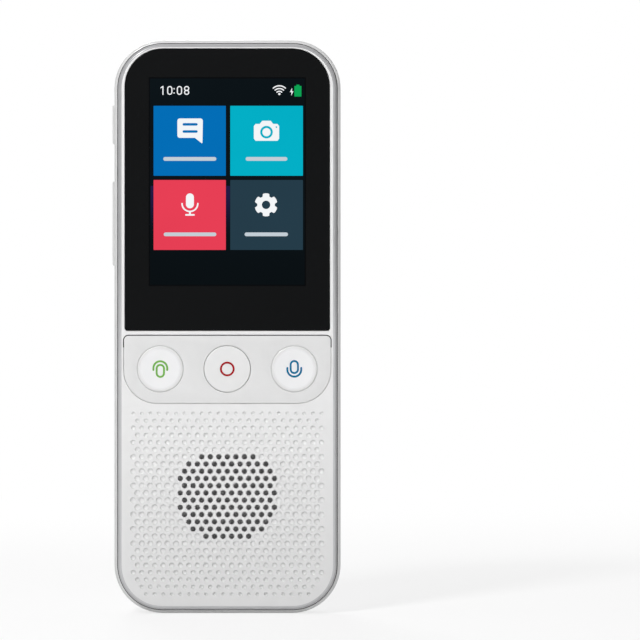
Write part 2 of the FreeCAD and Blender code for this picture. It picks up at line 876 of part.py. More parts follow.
def speaker_leads():
    middle_y = (board_front_y + board_back_y) / 2
    leads = []
    for side in (-1, 1):
        x = -speaker_lead_x + side * speaker_lead_gap / 2
        nearest_x = abs(x) - speaker_lead_radius
        start = grille_z + math.sqrt(speaker_radius ** 2 - nearest_x ** 2)
        leads.append(post(speaker_lead_radius, x, middle_y, start, board_bottom_z))
    return Part.makeCompound(leads)


def charge_board():
    half = charge_board_width / 2
    board = block(-half, half, charge_board_y, charge_board_back_y,
                  charge_board_bottom_z, charge_board_top_z)
    holes = []
    for x, z in charge_boss_places:
        holes.append(disc(screw_radius + screw_hole_clearance, x, z,
                          charge_board_y - cut_past, charge_board_back_y + cut_past))
    return board.cut(holes)


def usb_shell():
    outer = upright_stadium(usb_width, usb_height, usb_y, usb_recess, usb_recess + usb_length)
    inner = upright_stadium(usb_width - 2 * usb_wall, usb_height - 2 * usb_wall, usb_y,
                            usb_recess, usb_recess + usb_length)
    return outer.cut(inner)


def usb_tongue():
    top = usb_recess + usb_length
    base = upright_stadium(usb_width - 2 * usb_wall, usb_height - 2 * usb_wall, usb_y,
                           top - usb_plug_depth, top)
    half = usb_tongue_width / 2
    tongue = block(-half, half, usb_y - usb_tongue_height / 2, usb_y + usb_tongue_height / 2,
                   usb_recess + usb_tongue_recess, top - usb_plug_depth)
    return base.fuse(tongue)


def board_link_flex():
    lower_y = charge_board_back_y + flex_thickness / 2
    run_y = magnet_back_y + link_flex_offset
    land_y = board_back_y + flex_thickness / 2
    points = [(lower_y, charge_board_top_z - link_flex_tail), (lower_y, charge_board_top_z),
              (run_y, charge_board_top_z + link_flex_rise), (run_y, link_flex_bend_z),
              (land_y, board_bottom_z), (land_y, board_bottom_z + link_flex_landing)]
    return ribbon(points, 0, link_flex_width)


def microphone(x, end_z, inward):
    """A round capsule that listens through the hole in the end wall."""
    near = end_z + inward * (frame_wall + boot_wall)
    far = near + inward * microphone_depth
    return post(microphone_radius, x, microphone_y, min(near, far), max(near, far))


def microphone_boot(x, end_z, inward):
    """The rubber cup that seals the capsule to the end wall."""
    near = end_z + inward * frame_wall
    far = near + inward * (boot_wall + microphone_depth)
    cup = post(microphone_radius + boot_wall, x, microphone_y, min(near, far), max(near, far))
    hole = post(port_radius, x, microphone_y, min(near, far), max(near, far))
    return cup.cut([microphone(x, end_z, inward), hole])


def camera_window():
    return stadium(window_width, window_height, 0, window_z,
                   window_back_y, window_back_y + window_thickness)


def camera_module():
    return centred_block(camera_x, window_z, camera_side, camera_side, camera_base_y, camera_top_y)


def camera_barrel():
    front = camera_top_y
    back = window_back_y - camera_barrel_gap
    return ring(camera_barrel_radius, camera_bore_radius, camera_x, window_z, front, back)


def camera_lens():
    return disc(camera_bore_radius, camera_x, window_z, camera_top_y, camera_top_y + camera_lens_depth)


def camera_foam():
    return centred_block(camera_x, window_z, camera_side, camera_side, board_back_y, camera_base_y)


def camera_flex():
    leave_y = camera_base_y + flex_thickness / 2
    land_y = board_back_y + flex_thickness / 2
    start_z = window_z - camera_side / 2
    points = [(leave_y, start_z), (leave_y, start_z - camera_flex_out),
              (land_y, start_z - 2 * camera_flex_out), (land_y, start_z - 3 * camera_flex_out)]
    return ribbon(points, camera_x, camera_flex_width)


def flash_led():
    return centred_block(flash_x, window_z, flash_side, flash_side,
                         board_back_y, board_back_y + flash_height)


def flash_light_pipe():
    return disc(light_pipe_radius, flash_x, window_z, board_back_y + flash_height,
                window_back_y - camera_barrel_gap)


def antenna():
    return centred_block(antenna_x, antenna_z, antenna_width, antenna_length,
                         rear_inner_y - antenna_thickness, rear_inner_y)


def antenna_lead():
    socket_y = board_back_y + antenna_socket_height
    socket = disc(antenna_socket_radius, antenna_x, antenna_z, board_back_y, socket_y)
    lead = disc(antenna_lead_radius, antenna_x, antenna_z, socket_y, rear_inner_y - antenna_thickness)
    return socket.fuse(lead)


def build_nodes():
    """Every piece of the translator, by its node's name."""
    nodes = {}
    nodes["front_cover"] = front_cover()
    nodes["middle_frame"] = middle_frame()
    nodes["rear_cover"] = rear_cover()

    nodes["touch_glass"] = touch_glass()
    nodes["glass_tape"] = glass_tape()
    nodes["lcd_cell"] = lcd_layer(lcd_cell_y, backlight_y)
    nodes["lcd_backlight"] = lcd_layer(backlight_y, lcd_tray_y)
    nodes["lcd_tray"] = lcd_layer(lcd_tray_y, lcd_back_y)
    nodes["lcd_flex"] = lcd_flex()
    nodes["touch_flex"] = touch_flex()

    nodes["button_panel"] = button_panel()
    for name, x in key_places.items():
        nodes["key_" + name] = front_key(x, name != "centre")
        nodes["key_switch_" + name] = key_switch(x)

    nodes["power_key"] = side_key(power_key_low, power_key_length, power_flange_gap)
    power_z = power_key_low + power_key_length / 2
    nodes["power_switch"] = side_switch(power_z, power_flange_gap, key_travel)
    nodes["volume_rocker"] = volume_rocker()
    nodes["rocker_pin"] = rocker_pin_shape(rocker_pin_radius)
    pivot_z = rocker_low + rocker_length / 2
    for name, side in (("down", -1), ("up", 1)):
        switch_z = pivot_z + side * rocker_switch_offset
        nodes["volume_switch_" + name] = side_switch(switch_z, rocker_flange_gap, key_travel)

    nodes["main_board"] = main_board()
    nodes["board_screws"] = screws(board_boss_places, board_back_y, screw_length - screw_end_gap)
    nodes["shield_can"] = shield_can()
    chip_y = board_back_y + chip_height
    nodes["processor"] = centred_block(processor_x, can_z, processor_side, processor_side,
                                       board_back_y, chip_y)
    nodes["memory_chip"] = centred_block(memory_x, can_z, memory_width, memory_length,
                                         board_back_y, chip_y)
    nodes["wireless_module"] = centred_block(wireless_x, wireless_z, wireless_width, wireless_length,
                                             board_back_y, board_back_y + wireless_height)
    nodes["power_chip"] = centred_block(power_chip_x, power_chip_z, power_chip_side, power_chip_side,
                                        board_back_y, board_back_y + power_chip_height)
    nodes["antenna"] = antenna()
    nodes["antenna_lead"] = antenna_lead()

    nodes["battery_cell"] = battery_cell()
    nodes["battery_tape"] = battery_tape()
    nodes["battery_connector"] = battery_connector()
    nodes["battery_leads"] = battery_leads()

    nodes["speaker_mesh"] = disc(speaker_radius, 0, grille_z, mesh_y, gasket_y)
    nodes["speaker_gasket"] = ring(speaker_radius, speaker_radius - gasket_width,
                                   0, grille_z, gasket_y, speaker_y)
    nodes["speaker_frame"] = speaker_frame()
    nodes["speaker_cone"] = speaker_cone()
    nodes["speaker_coil"] = speaker_coil()
    nodes["speaker_magnet"] = disc(speaker_magnet_radius, 0, grille_z, speaker_back_y, magnet_back_y)
    nodes["speaker_leads"] = speaker_leads()

    nodes["charge_board"] = charge_board()
    nodes["charge_board_screws"] = screws(charge_boss_places, charge_board_back_y,
                                          charge_screw_length - screw_end_gap)
    nodes["usb_shell"] = usb_shell()
    nodes["usb_tongue"] = usb_tongue()
    nodes["board_link_flex"] = board_link_flex()
    nodes["bottom_microphone"] = microphone(bottom_microphone_x, 0, 1)
    nodes["bottom_microphone_boot"] = microphone_boot(bottom_microphone_x, 0, 1)
    nodes["top_microphone"] = microphone(top_microphone_x, body_height, -1)
    nodes["top_microphone_boot"] = microphone_boot(top_microphone_x, body_height, -1)

    nodes["camera_window"] = camera_window()
    nodes["camera_module"] = camera_module()
    nodes["camera_barrel"] = camera_barrel()
    nodes["camera_lens"] = camera_lens()
    nodes["camera_foam"] = camera_foam()
    nodes["camera_flex"] = camera_flex()
    nodes["flash_led"] = flash_led()
    nodes["flash_light_pipe"] = flash_light_pipe()
    return nodes


os.makedirs("parts", exist_ok=True)
for name, shape in build_nodes().items():
    print(name, len(shape.Solids), round(shape.Volume, 3), shape.isValid())
    shape.exportStep("parts/" + name + ".step")
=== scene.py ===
"""Dresses the handheld translator: shells, screen, keys, camera window and studio."""

import json
import logging
import math
from dataclasses import dataclass
from enum import Enum
from functools import lru_cache
from typing import Callable, Dict, List, Optional, Sequence, Tuple

import bmesh
import bpy
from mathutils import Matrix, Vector
from mathutils.geometry import delaunay_2d_cdt


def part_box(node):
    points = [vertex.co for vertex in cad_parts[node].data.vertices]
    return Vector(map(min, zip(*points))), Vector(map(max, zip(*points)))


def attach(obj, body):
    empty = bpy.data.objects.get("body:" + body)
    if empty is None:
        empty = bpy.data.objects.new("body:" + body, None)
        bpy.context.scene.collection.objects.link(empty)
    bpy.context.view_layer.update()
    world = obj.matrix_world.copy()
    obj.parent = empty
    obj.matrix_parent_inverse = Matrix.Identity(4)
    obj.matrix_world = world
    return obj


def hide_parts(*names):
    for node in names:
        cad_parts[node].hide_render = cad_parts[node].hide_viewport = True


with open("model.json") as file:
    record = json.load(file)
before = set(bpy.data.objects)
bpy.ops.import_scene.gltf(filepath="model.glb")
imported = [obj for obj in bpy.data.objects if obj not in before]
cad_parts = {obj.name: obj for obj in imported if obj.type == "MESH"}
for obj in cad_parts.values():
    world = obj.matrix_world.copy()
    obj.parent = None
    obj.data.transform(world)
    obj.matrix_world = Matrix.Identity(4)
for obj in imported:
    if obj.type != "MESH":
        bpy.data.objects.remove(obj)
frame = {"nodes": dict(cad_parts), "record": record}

log = logging.getLogger("translator")
MM = 0.001
TURN = 2 * math.pi
HOUSING = "housing"

Point = Tuple[float, float]
Colour = Tuple[float, float, float]
Place = Tuple[float, float, float]
Ring = List[int]
Figure = Tuple[List[Point], List[List[Point]]]
Surface = Callable[[float, float], float]
Shape = Callable[[float], List[Point]]

COAT_ROUGHNESS = 0.06
NOISE_DETAIL = 4.0
GRAIN_HEIGHT = 0.05
BRUSH_STRETCH = 0.04
DRIFT_SPAN = (0.3, 0.7)
ROUGHNESS_DRIFT = 0.1
# Where a surface turns from the eye, its colour darkens towards this grey: partly a pearl paint's flop,
# partly painted shade.
FLOP_AND_SHADE_SPAN = (0.03, 0.45)
FLOP_AND_SHADE_COLOUR: Colour = (0.10, 0.10, 0.105)
SEAM_REACH = 0.0005
SPECK_REACH = 0.0001
FILL_REACH = 1e-7

COVER_RADIUS = 10.6
GLASS_RADII = (9.0, 0.6)
PANEL_RADII = (1.2, 8.0)
KEY_RADIUS = 5.5


@lru_cache(maxsize=None)
def node_box(node: str) -> Tuple[Vector, Vector]:
    """Gives a CAD node's lowest and highest corner in millimetres.

    Args:
        node: The node's name.

    Returns:
        The two corners.
    """
    low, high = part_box(node)
    return low / MM, high / MM


def node_middle(node: str) -> Point:
    """Gives the middle of a CAD node, seen from the front, as (x, z) in millimetres."""
    low, high = node_box(node)
    return (low.x + high.x) / 2, (low.z + high.z) / 2


def add_object(name: str, mesh: bpy.types.Mesh) -> bpy.types.Object:
    """Makes an object of a mesh and puts it into the scene.

    Args:
        name: The object's name.
        mesh: Its mesh.

    Returns:
        The object, at the origin.
    """
    made = bpy.data.objects.new(name, mesh)
    bpy.context.scene.collection.objects.link(made)
    return made


def screen_colour(red: int, green: int, blue: int) -> Colour:
    """Turns a colour as a screen shows it into the linear one that shaders take.

    Args:
        red: From 0 to 255.
        green: From 0 to 255.
        blue: From 0 to 255.

    Returns:
        The linear colour.
    """
    def linear(value: int) -> float:
        """Gives one channel's linear value."""
        share = value / 255
        return share / 12.92 if share <= 0.04045 else ((share + 0.055) / 1.055) ** 2.4
    return linear(red), linear(green), linear(blue)


class Grain(Enum):
    """How a finish varies over its surface."""

    PEARL = "pearl"
    MOULDED = "moulded"
    POLISHED = "polished"
    BRUSHED = "brushed"
    PRINTED = "printed"


GRAIN_SCALE = {Grain.PEARL: 420.0, Grain.MOULDED: 1800.0, Grain.POLISHED: 60.0,
               Grain.BRUSHED: 2600.0, Grain.PRINTED: 900.0}
GRAIN_BUMP = {Grain.PEARL: 0.010, Grain.MOULDED: 0.05, Grain.POLISHED: 0.0,
              Grain.BRUSHED: 0.04, Grain.PRINTED: 0.012}


@dataclass(frozen=True)
class Finish:
    """A procedural finish: a colour with fine variation, gloss and a faint grain.

    Attributes:
        name: The material's name.
        colour: Linear base colour.
        roughness: Middle roughness.
        grain: How it varies.
        variation: How much lighter and darker the colour gets.
        metallic: Share of metal.
        coat: Weight of the clear lacquer.
        specular: Specular level of the surface under the lacquer.
        glow: How much of the colour shines by itself.
        flop_and_painted_shade: How much darker the paint gets where it turns away from the eye, partly a
            pearl paint's flop and partly painted shade.
        picture_tint_and_painted_shade: The colour at the lower end of the height gradient, if it has one; on
            the screen it is the picture's own tint, and on the face and front edge it is painted shade.
        shade_span: The two heights in millimetres between which the colour changes.
    """

    name: str
    colour: Colour
    roughness: float = 0.35
    grain: Grain = Grain.MOULDED
    variation: float = 0.03
    metallic: float = 0.0
    coat: float = 0.0
    specular: float = 0.5
    glow: float = 0.0
    flop_and_painted_shade: float = 0.0
    picture_tint_and_painted_shade: Optional[Colour] = None
    shade_span: Point = (0.0, 1.0)

    def material(self) -> bpy.types.Material:
        """Builds the node material once.

        Returns:
            The material.
        """
        found = bpy.data.materials.get("finish_" + self.name)
        if found:
            return found
        made = bpy.data.materials.new("finish_" + self.name)
        made.use_nodes = True
        nodes, links = made.node_tree.nodes, made.node_tree.links
        shader = nodes["Principled BSDF"]
        shader.inputs["Metallic"].default_value = self.metallic
        shader.inputs["Coat Weight"].default_value = self.coat
        shader.inputs["Coat Roughness"].default_value = COAT_ROUGHNESS
        shader.inputs["Specular IOR Level"].default_value = self.specular
        place = nodes.new("ShaderNodeTexCoord")
        stretch = nodes.new("ShaderNodeMapping")
        stretch.inputs["Scale"].default_value[2] = BRUSH_STRETCH if self.grain is Grain.BRUSHED else 1.0
        noise = nodes.new("ShaderNodeTexNoise")
        noise.inputs["Scale"].default_value = GRAIN_SCALE[self.grain]
        noise.inputs["Detail"].default_value = NOISE_DETAIL
        links.new(place.outputs["Object"], stretch.inputs["Vector"])
        links.new(stretch.outputs["Vector"], noise.inputs["Vector"])
        self._colour_nodes(nodes, links, noise, place, shader)
        self._roughness_nodes(nodes, links, noise, shader)
        if GRAIN_BUMP[self.grain] > 0:
            bump = nodes.new("ShaderNodeBump")
            bump.inputs["Strength"].default_value = GRAIN_BUMP[self.grain]
            bump.inputs["Distance"].default_value = GRAIN_HEIGHT * MM
            links.new(noise.outputs["Fac"], bump.inputs["Height"])
            links.new(bump.outputs["Normal"], shader.inputs["Normal"])
        return made

    def _colour_nodes(self, nodes: bpy.types.Nodes, links: bpy.types.NodeLinks,
                      noise: bpy.types.Node, place: bpy.types.Node, shader: bpy.types.Node) -> None:
        """Links a colour that drifts a little with the noise.

        Args:
            nodes: The tree's nodes.
            links: The tree's links.
            noise: The grain's noise.
            place: The object's coordinates.
            shader: The surface shader.
        """
        ramp = nodes.new("ShaderNodeValToRGB")
        low, high = ramp.color_ramp.elements
        low.position, high.position = DRIFT_SPAN
        low.color = (*[c * (1 - self.variation) for c in self.colour], 1)
        high.color = (*[min(1.0, c * (1 + self.variation)) for c in self.colour], 1)
        links.new(noise.outputs["Fac"], ramp.inputs["Fac"])
        colour = ramp.outputs["Color"]
        # Colour that changes with height: on the screen it is the picture's own tint; on the face and front
        # edge it is painted shade.
        if self.picture_tint_and_painted_shade:
            split = nodes.new("ShaderNodeSeparateXYZ")
            height = nodes.new("ShaderNodeMapRange")
            for name, end in zip(("From Min", "From Max"), self.shade_span):
                height.inputs[name].default_value = end * MM
            height.interpolation_type = "SMOOTHSTEP"
            links.new(place.outputs["Object"], split.inputs["Vector"])
            links.new(split.outputs["Z"], height.inputs["Value"])
            colour = self._mix(nodes, links, height.outputs["Result"], self.picture_tint_and_painted_shade, colour)
        # Painted shade, partly a pearl paint's flop: the colour darkens where the surface turns from the eye.
        if self.flop_and_painted_shade > 0:
            turn = nodes.new("ShaderNodeLayerWeight")
            turn.inputs["Blend"].default_value = 0.5
            away = nodes.new("ShaderNodeMapRange")
            for name, value in zip(("From Min", "From Max", "To Max"), (*FLOP_AND_SHADE_SPAN, self.flop_and_painted_shade)):
                away.inputs[name].default_value = value
            away.interpolation_type = "SMOOTHSTEP"
            links.new(turn.outputs["Facing"], away.inputs["Value"])
            colour = self._mix(nodes, links, away.outputs["Result"], colour, FLOP_AND_SHADE_COLOUR)
        if self.glow > 0:
            links.new(colour, shader.inputs["Emission Color"])
            shader.inputs["Emission Strength"].default_value = self.glow
            shader.inputs["Base Color"].default_value = (0.0, 0.0, 0.0, 1)
        else:
            links.new(colour, shader.inputs["Base Color"])

    @staticmethod
    def _mix(nodes: bpy.types.Nodes, links: bpy.types.NodeLinks, share: bpy.types.NodeSocket,
             first: object, second: object) -> bpy.types.NodeSocket:
        """Mixes two colours, each a constant or another node's output.

        Args:
            nodes: The tree's nodes.
            links: The tree's links.
            share: The second colour's share.
            first: The colour at 0.
            second: The colour at 1.

        Returns:
            The mixed colour's output.
        """
        mix = nodes.new("ShaderNodeMix")
        mix.data_type = "RGBA"
        links.new(share, mix.inputs[0])
        for socket, value in ((mix.inputs[6], first), (mix.inputs[7], second)):
            if isinstance(value, tuple):
                socket.default_value = (*value, 1)
            else:
                links.new(value, socket)
        return mix.outputs[2]

    def _roughness_nodes(self, nodes: bpy.types.Nodes, links: bpy.types.NodeLinks,
                         noise: bpy.types.Node, shader: bpy.types.Node) -> None:
        """Links a roughness that drifts a little with the noise.

        Args:
            nodes: The tree's nodes.
            links: The tree's links.
            noise: The grain's noise.
            shader: The surface shader.
        """
        span = nodes.new("ShaderNodeMapRange")
        span.inputs["To Min"].default_value = self.roughness * (1 - ROUGHNESS_DRIFT)
        span.inputs["To Max"].default_value = min(1.0, self.roughness * (1 + ROUGHNESS_DRIFT))
        links.new(noise.outputs["Fac"], span.inputs["Value"])
        links.new(span.outputs["Result"], shader.inputs["Roughness"])


def grey(level: int) -> Colour:
    """Gives a plain grey as a screen shows it."""
    return screen_colour(level, level, level)


def lit(name: str, red: int, green: int, blue: int, variation: float = 0.02, specular: float = 0.013,
        picture_tint_and_painted_shade: Optional[Colour] = None, shade_span: Point = (0.0, 1.0)) -> Finish:
    """Gives the finish of a colour that the screen shows.

    Args:
        name: The material's name.
        red: From 0 to 255.
        green: From 0 to 255.
        blue: From 0 to 255.
        variation: How much lighter and darker it gets.
        specular: Specular level of the glass over it.
        picture_tint_and_painted_shade: The picture's colour at the lower end of its height gradient, if it
            has one.
        shade_span: The two heights in millimetres between which the colour changes.

    Returns:
        The finish.
    """
    return Finish(name, screen_colour(red, green, blue), 0.06, Grain.POLISHED, variation, glow=1.0,
                  specular=specular, picture_tint_and_painted_shade=picture_tint_and_painted_shade, shade_span=shade_span)


def printed(name: str, red: int, green: int, blue: int) -> Finish:
    """Gives the finish of a key's printed mark."""
    return Finish(name, screen_colour(red, green, blue), 0.4, Grain.PRINTED, 0.03, specular=0.026)


# Painted shade: the face is darker towards the bottom, where the light falls off.
FACE_WHITE = Finish("face_white", grey(232), 0.42, Grain.PEARL, 0.012, coat=0.15,
                    picture_tint_and_painted_shade=grey(219), shade_span=(0.0, 60.0))
# Grey of the rounded front edge and side: partly a silver trim, partly painted shade of the edge turning from
# the lamps; it is also painted darker towards the top as shade.
EDGE_SILVER_AND_SHADE = Finish("edge_silver_and_shade", screen_colour(162, 162, 164), 0.3, Grain.PEARL, 0.02, coat=0.3, flop_and_painted_shade=0.25,
                     picture_tint_and_painted_shade=screen_colour(188, 188, 190), shade_span=(60.0, 90.0))
# The frame darkens where it turns from the eye: partly flop, partly painted shade.
FRAME_SILVER = Finish("frame_silver", grey(212), 0.34, Grain.PEARL, 0.015, coat=0.2, flop_and_painted_shade=0.12)
# The back darkens towards its pillowed edges where it turns from the eye: painted shade of the pillow, partly
# a pearl paint's flop.
REAR_PEARL = Finish("rear_pearl", screen_colour(239, 239, 240), 0.30, Grain.PEARL, 0.012, coat=0.35,
                    flop_and_painted_shade=0.36)
PANEL_WHITE = Finish("panel_white", grey(222), 0.4, Grain.PEARL, 0.012, coat=0.15)
KEY_WHITE = Finish("key_white", screen_colour(237, 237, 238), 0.3, Grain.PEARL, 0.006, coat=0.3)
# Talk keys' cap: one moulding in three greys, with its soft ring and rim painted darker than the middle as
# shade around the dish.
KEY_RING_SHADE = Finish("key_ring_shade", screen_colour(232, 232, 233), 0.33, Grain.PEARL, 0.006, coat=0.25)
KEY_RIM_SHADE = Finish("key_rim_shade", grey(224), 0.36, Grain.PEARL, 0.01, coat=0.2)
KEY_GREY = Finish("key_grey", grey(228), 0.36, Grain.PEARL, 0.01, coat=0.2)
BLACK_GLASS = Finish("black_glass", screen_colour(13, 14, 15), 0.05, Grain.POLISHED, 0.05, specular=0.05)
# A near-black border round the lit screen: painted shadow along the screen's edge.
SCREEN_EDGE_SHADOW = Finish("screen_edge_shadow", screen_colour(5, 6, 8), 0.06, Grain.POLISHED, 0.1, specular=0.026)
SCREEN_NIGHT = lit("screen_night", 6, 15, 20, 0.1, 0.026, screen_colour(4, 11, 15), (78.0, 100.0))
PURPLE_GLOW = lit("purple_glow", 34, 22, 66, 0.1, 0.026, screen_colour(8, 14, 22), (90.0, 101.0))
TILE_BLUE = lit("tile_blue", 0, 109, 182)
TILE_TEAL = lit("tile_teal", 0, 175, 198)
TILE_RED = lit("tile_red", 230, 62, 84)
TILE_SLATE = lit("tile_slate", 36, 59, 72)
ICON_WHITE = lit("icon_white", 244, 246, 248, 0.01)
LABEL_WHITE = lit("label_white", 196, 206, 214, 0.01)
CHARGE_GREEN = lit("charge_green", 10, 164, 84)
MARK_GREEN = printed("mark_green", 116, 176, 78)
MARK_RED = printed("mark_red", 160, 10, 24)
MARK_BLUE = printed("mark_blue", 18, 110, 152)
# Dark strips in the seams: painted shadow of the gaps.
SHADOW_STRIP_DARK = Finish("shadow_strip_dark", screen_colour(30, 30, 32), 0.7, Grain.MOULDED, 0.1)
# Painted shade: the through holes' walls are darker grey than the white cover they are cut in.
HOLE_WALL_SHADE = Finish("hole_wall_shade", screen_colour(158, 158, 159), 0.6, Grain.MOULDED, 0.1)
HOLE_CLOTH = Finish("hole_cloth", (0.8, 0.8, 0.8), 0.9, Grain.MOULDED, 0.3)
LENS_RING = Finish("lens_ring", screen_colour(34, 34, 37), 0.25, Grain.POLISHED, 0.05, specular=0.2)
LENS_GLASS = Finish("lens_glass", screen_colour(5, 6, 10), 0.03, Grain.POLISHED, 0.2, coat=0.05,
                    specular=0.05)
FLASH_DIFFUSER = Finish("flash_diffuser", screen_colour(214, 218, 150), 0.2, Grain.POLISHED, 0.08, coat=0.8)
STEEL = Finish("steel", (0.55, 0.55, 0.56), 0.3, Grain.BRUSHED, 0.08, metallic=1.0)
DARK_PLASTIC = Finish("dark_plastic", (0.02, 0.02, 0.02), 0.5, Grain.MOULDED, 0.15)
BOARD_GREEN = Finish("board_green", (0.02, 0.12, 0.05), 0.4, Grain.MOULDED, 0.2, coat=0.3)
AMBER_FILM = Finish("amber_film", (0.45, 0.20, 0.05), 0.3, Grain.POLISHED, 0.1, coat=0.2)
POUCH_FILM = Finish("pouch_film", (0.45, 0.46, 0.48), 0.3, Grain.BRUSHED, 0.08, metallic=0.6)
FOAM_BLACK = Finish("foam_black", (0.02, 0.02, 0.02), 0.95, Grain.MOULDED, 0.3)
NYLON = Finish("nylon", (0.7, 0.68, 0.6), 0.45, Grain.MOULDED, 0.05)
WIRE_RED = Finish("wire_red", (0.4, 0.02, 0.02), 0.45, Grain.MOULDED, 0.1)

SLOT_FINISH: Dict[str, Finish] = {
    "front_shell": FACE_WHITE, "frame_shell": FRAME_SILVER, "rear_shell": REAR_PEARL,
    "panel_plastic": PANEL_WHITE, "key_white": KEY_WHITE, "black_glass": BLACK_GLASS,
    "window_glass": BLACK_GLASS, "clear_plastic": FLASH_DIFFUSER, "lens_glass": LENS_GLASS,
    "lcd_panel": DARK_PLASTIC, "diffuser": NYLON, "bare_steel": STEEL, "adhesive": DARK_PLASTIC,
    "foam": FOAM_BLACK, "flex_film": AMBER_FILM, "board_green": BOARD_GREEN,
    "chip_black": DARK_PLASTIC, "white_nylon": NYLON, "wire": WIRE_RED,
    "battery_film": POUCH_FILM, "paper_cone": DARK_PLASTIC, "mesh_cloth": HOLE_CLOTH,
    "magnet_metal": STEEL, "rubber_boot": FOAM_BLACK,
}


def rounded_outline(half_width: float, low: float, high: float, top_radius: float,
                    bottom_radius: float, corner_steps: int = 16) -> List[Point]:
    """Gives the points of an upright rectangle with rounded corners, anticlockwise.

    Args:
        half_width: Half the width.
        low: Lowest z.
        high: Highest z.
        top_radius: Radius of the two upper corners.
        bottom_radius: Radius of the two lower corners.
        corner_steps: Steps in each corner.

    Returns:
        Points as (x, z).
    """
    points = []
    for quarter, (side, end) in enumerate(((1, 1), (-1, 1), (-1, -1), (1, -1))):
        radius = top_radius if end > 0 else bottom_radius
        middle_x = side * (half_width - radius)
        middle_z = high - radius if end > 0 else low + radius
        for step in range(corner_steps + 1):
            angle = TURN / 4 * (quarter + step / corner_steps)
            points.append((middle_x + radius * math.cos(angle), middle_z + radius * math.sin(angle)))
    return points


def around_node(node: str, top_radius: float, bottom_radius: float, grown: float = 0.0,
                corner_steps: int = 16) -> List[Point]:
    """Gives the rounded outline of a CAD node, seen from the front and grown outwards.

    Args:
        node: The node's name.
        top_radius: Radius of the two upper corners before it grows.
        bottom_radius: Radius of the two lower corners before it grows.
        grown: How far it is grown, below 0 to draw it in.
        corner_steps: Steps in each corner.

    Returns:
        Points as (x, z).
    """
    low, high = node_box(node)
    return rounded_outline(high.x + grown, low.z - grown, high.z + grown, top_radius + grown,
                           bottom_radius + grown, corner_steps)


def circle(radius: float, x: float = 0.0, z: float = 0.0, steps: int = 48) -> List[Point]:
    """Gives the points of a circle, anticlockwise.

    Args:
        radius: The circle's radius.
        x: Middle x.
        z: Middle z.
        steps: Number of points.

    Returns:
        Points as (x, z).
    """
    return [(x + radius * math.cos(TURN * i / steps), z + radius * math.sin(TURN * i / steps))
            for i in range(steps)]


def stadium(width: float, height: float, x: float = 0.0, z: float = 0.0, steps: int = 24) -> List[Point]:
    """Gives a shape with two straight sides and round ends, anticlockwise.

    Args:
        width: Overall width.
        height: Overall height.
        x: Middle x.
        z: Middle z.
        steps: Steps in each round end.

    Returns:
        Points as (x, z).
    """
    upright = height > width
    radius = min(width, height) / 2
    reach = max(width, height) / 2 - radius
    points = []
    for side in (1, -1):
        start = -TURN / 4 if side > 0 else TURN / 4
        for step in range(steps + 1):
            angle = start + TURN / 2 * step / steps
            along = side * reach + radius * math.cos(angle)
            across = radius * math.sin(angle)
            points.append((x - across, z + along) if upright else (x + along, z + across))
    return points


def stroke(line: Sequence[Point], width: float, cap_steps: int = 8) -> List[Point]:
    """Gives the outline of a line drawn with a round pen.

    Args:
        line: The points along its middle.
        width: The pen's width.
        cap_steps: Steps in each round end.

    Returns:
        Points as (x, z).
    """
    half = width / 2
    sides: List[List[Point]] = [[], []]
    count = len(line)
    for i, (x, z) in enumerate(line):
        before, after = line[max(i - 1, 0)], line[min(i + 1, count - 1)]
        along = Vector((after[0] - before[0], after[1] - before[1])).normalized()
        sides[0].append((x - along.y * half, z + along.x * half))
        sides[1].append((x + along.y * half, z - along.x * half))

    def cap(end: Point, towards: Point) -> List[Point]:
        """Gives the half circle past one end of the line.

        Args:
            end: The end.
            towards: The point before it.

        Returns:
            Points as (x, z).
        """
        aim = math.atan2(end[1] - towards[1], end[0] - towards[0])
        return [(end[0] + half * math.cos(aim + TURN * (0.25 - 0.5 * s / cap_steps)),
                 end[1] + half * math.sin(aim + TURN * (0.25 - 0.5 * s / cap_steps)))
                for s in range(1, cap_steps)]

    return sides[0] + cap(line[-1], line[-2]) + sides[1][::-1] + cap(line[0], line[1])


def arc(radius: float, start: float, end: float, x: float = 0.0, z: float = 0.0,
        steps: int = 20) -> List[Point]:
    """Gives the points of an arc, its angles in degrees.

    Args:
        radius: The arc's radius.
        start: First angle.
        end: Last angle.
        x: Middle x.
        z: Middle z.
        steps: Steps along it.

    Returns:
        Points as (x, z).
    """
    angles = [math.radians(start + (end - start) * i / steps) for i in range(steps + 1)]
    return [(x + radius * math.cos(a), z + radius * math.sin(a)) for a in angles]


def shifted(outline: Sequence[Point], x: float, z: float) -> List[Point]:
    """Moves an outline by x and z."""
    return [(px + x, pz + z) for px, pz in outline]


def small_plate(half_width: float, low: float, high: float, radius: float, x: float = 0.0,
                corner_steps: int = 2) -> List[Point]:
    """Gives a small rectangle with four equal round corners.

    Args:
        half_width: Half the width.
        low: Lowest z.
        high: Highest z.
        radius: Radius of its corners.
        x: Middle x.
        corner_steps: Steps in each corner.

    Returns:
        Points as (x, z).
    """
    return shifted(rounded_outline(half_width, low, high, radius, radius, corner_steps), x, 0)


def encloses(outline: Sequence[Point], place: Sequence[float]) -> bool:
    """Tells whether a place lies inside an outline.

    Args:
        outline: The outline's points.
        place: The place as (x, z).

    Returns:
        True if it does.
    """
    crossings = 0
    for (x0, z0), (x1, z1) in zip(outline, [*outline[1:], outline[0]]):
        if (z0 > place[1]) != (z1 > place[1]):
            crossings += place[0] < x0 + (place[1] - z0) / (z1 - z0) * (x1 - x0)
    return crossings % 2 == 1


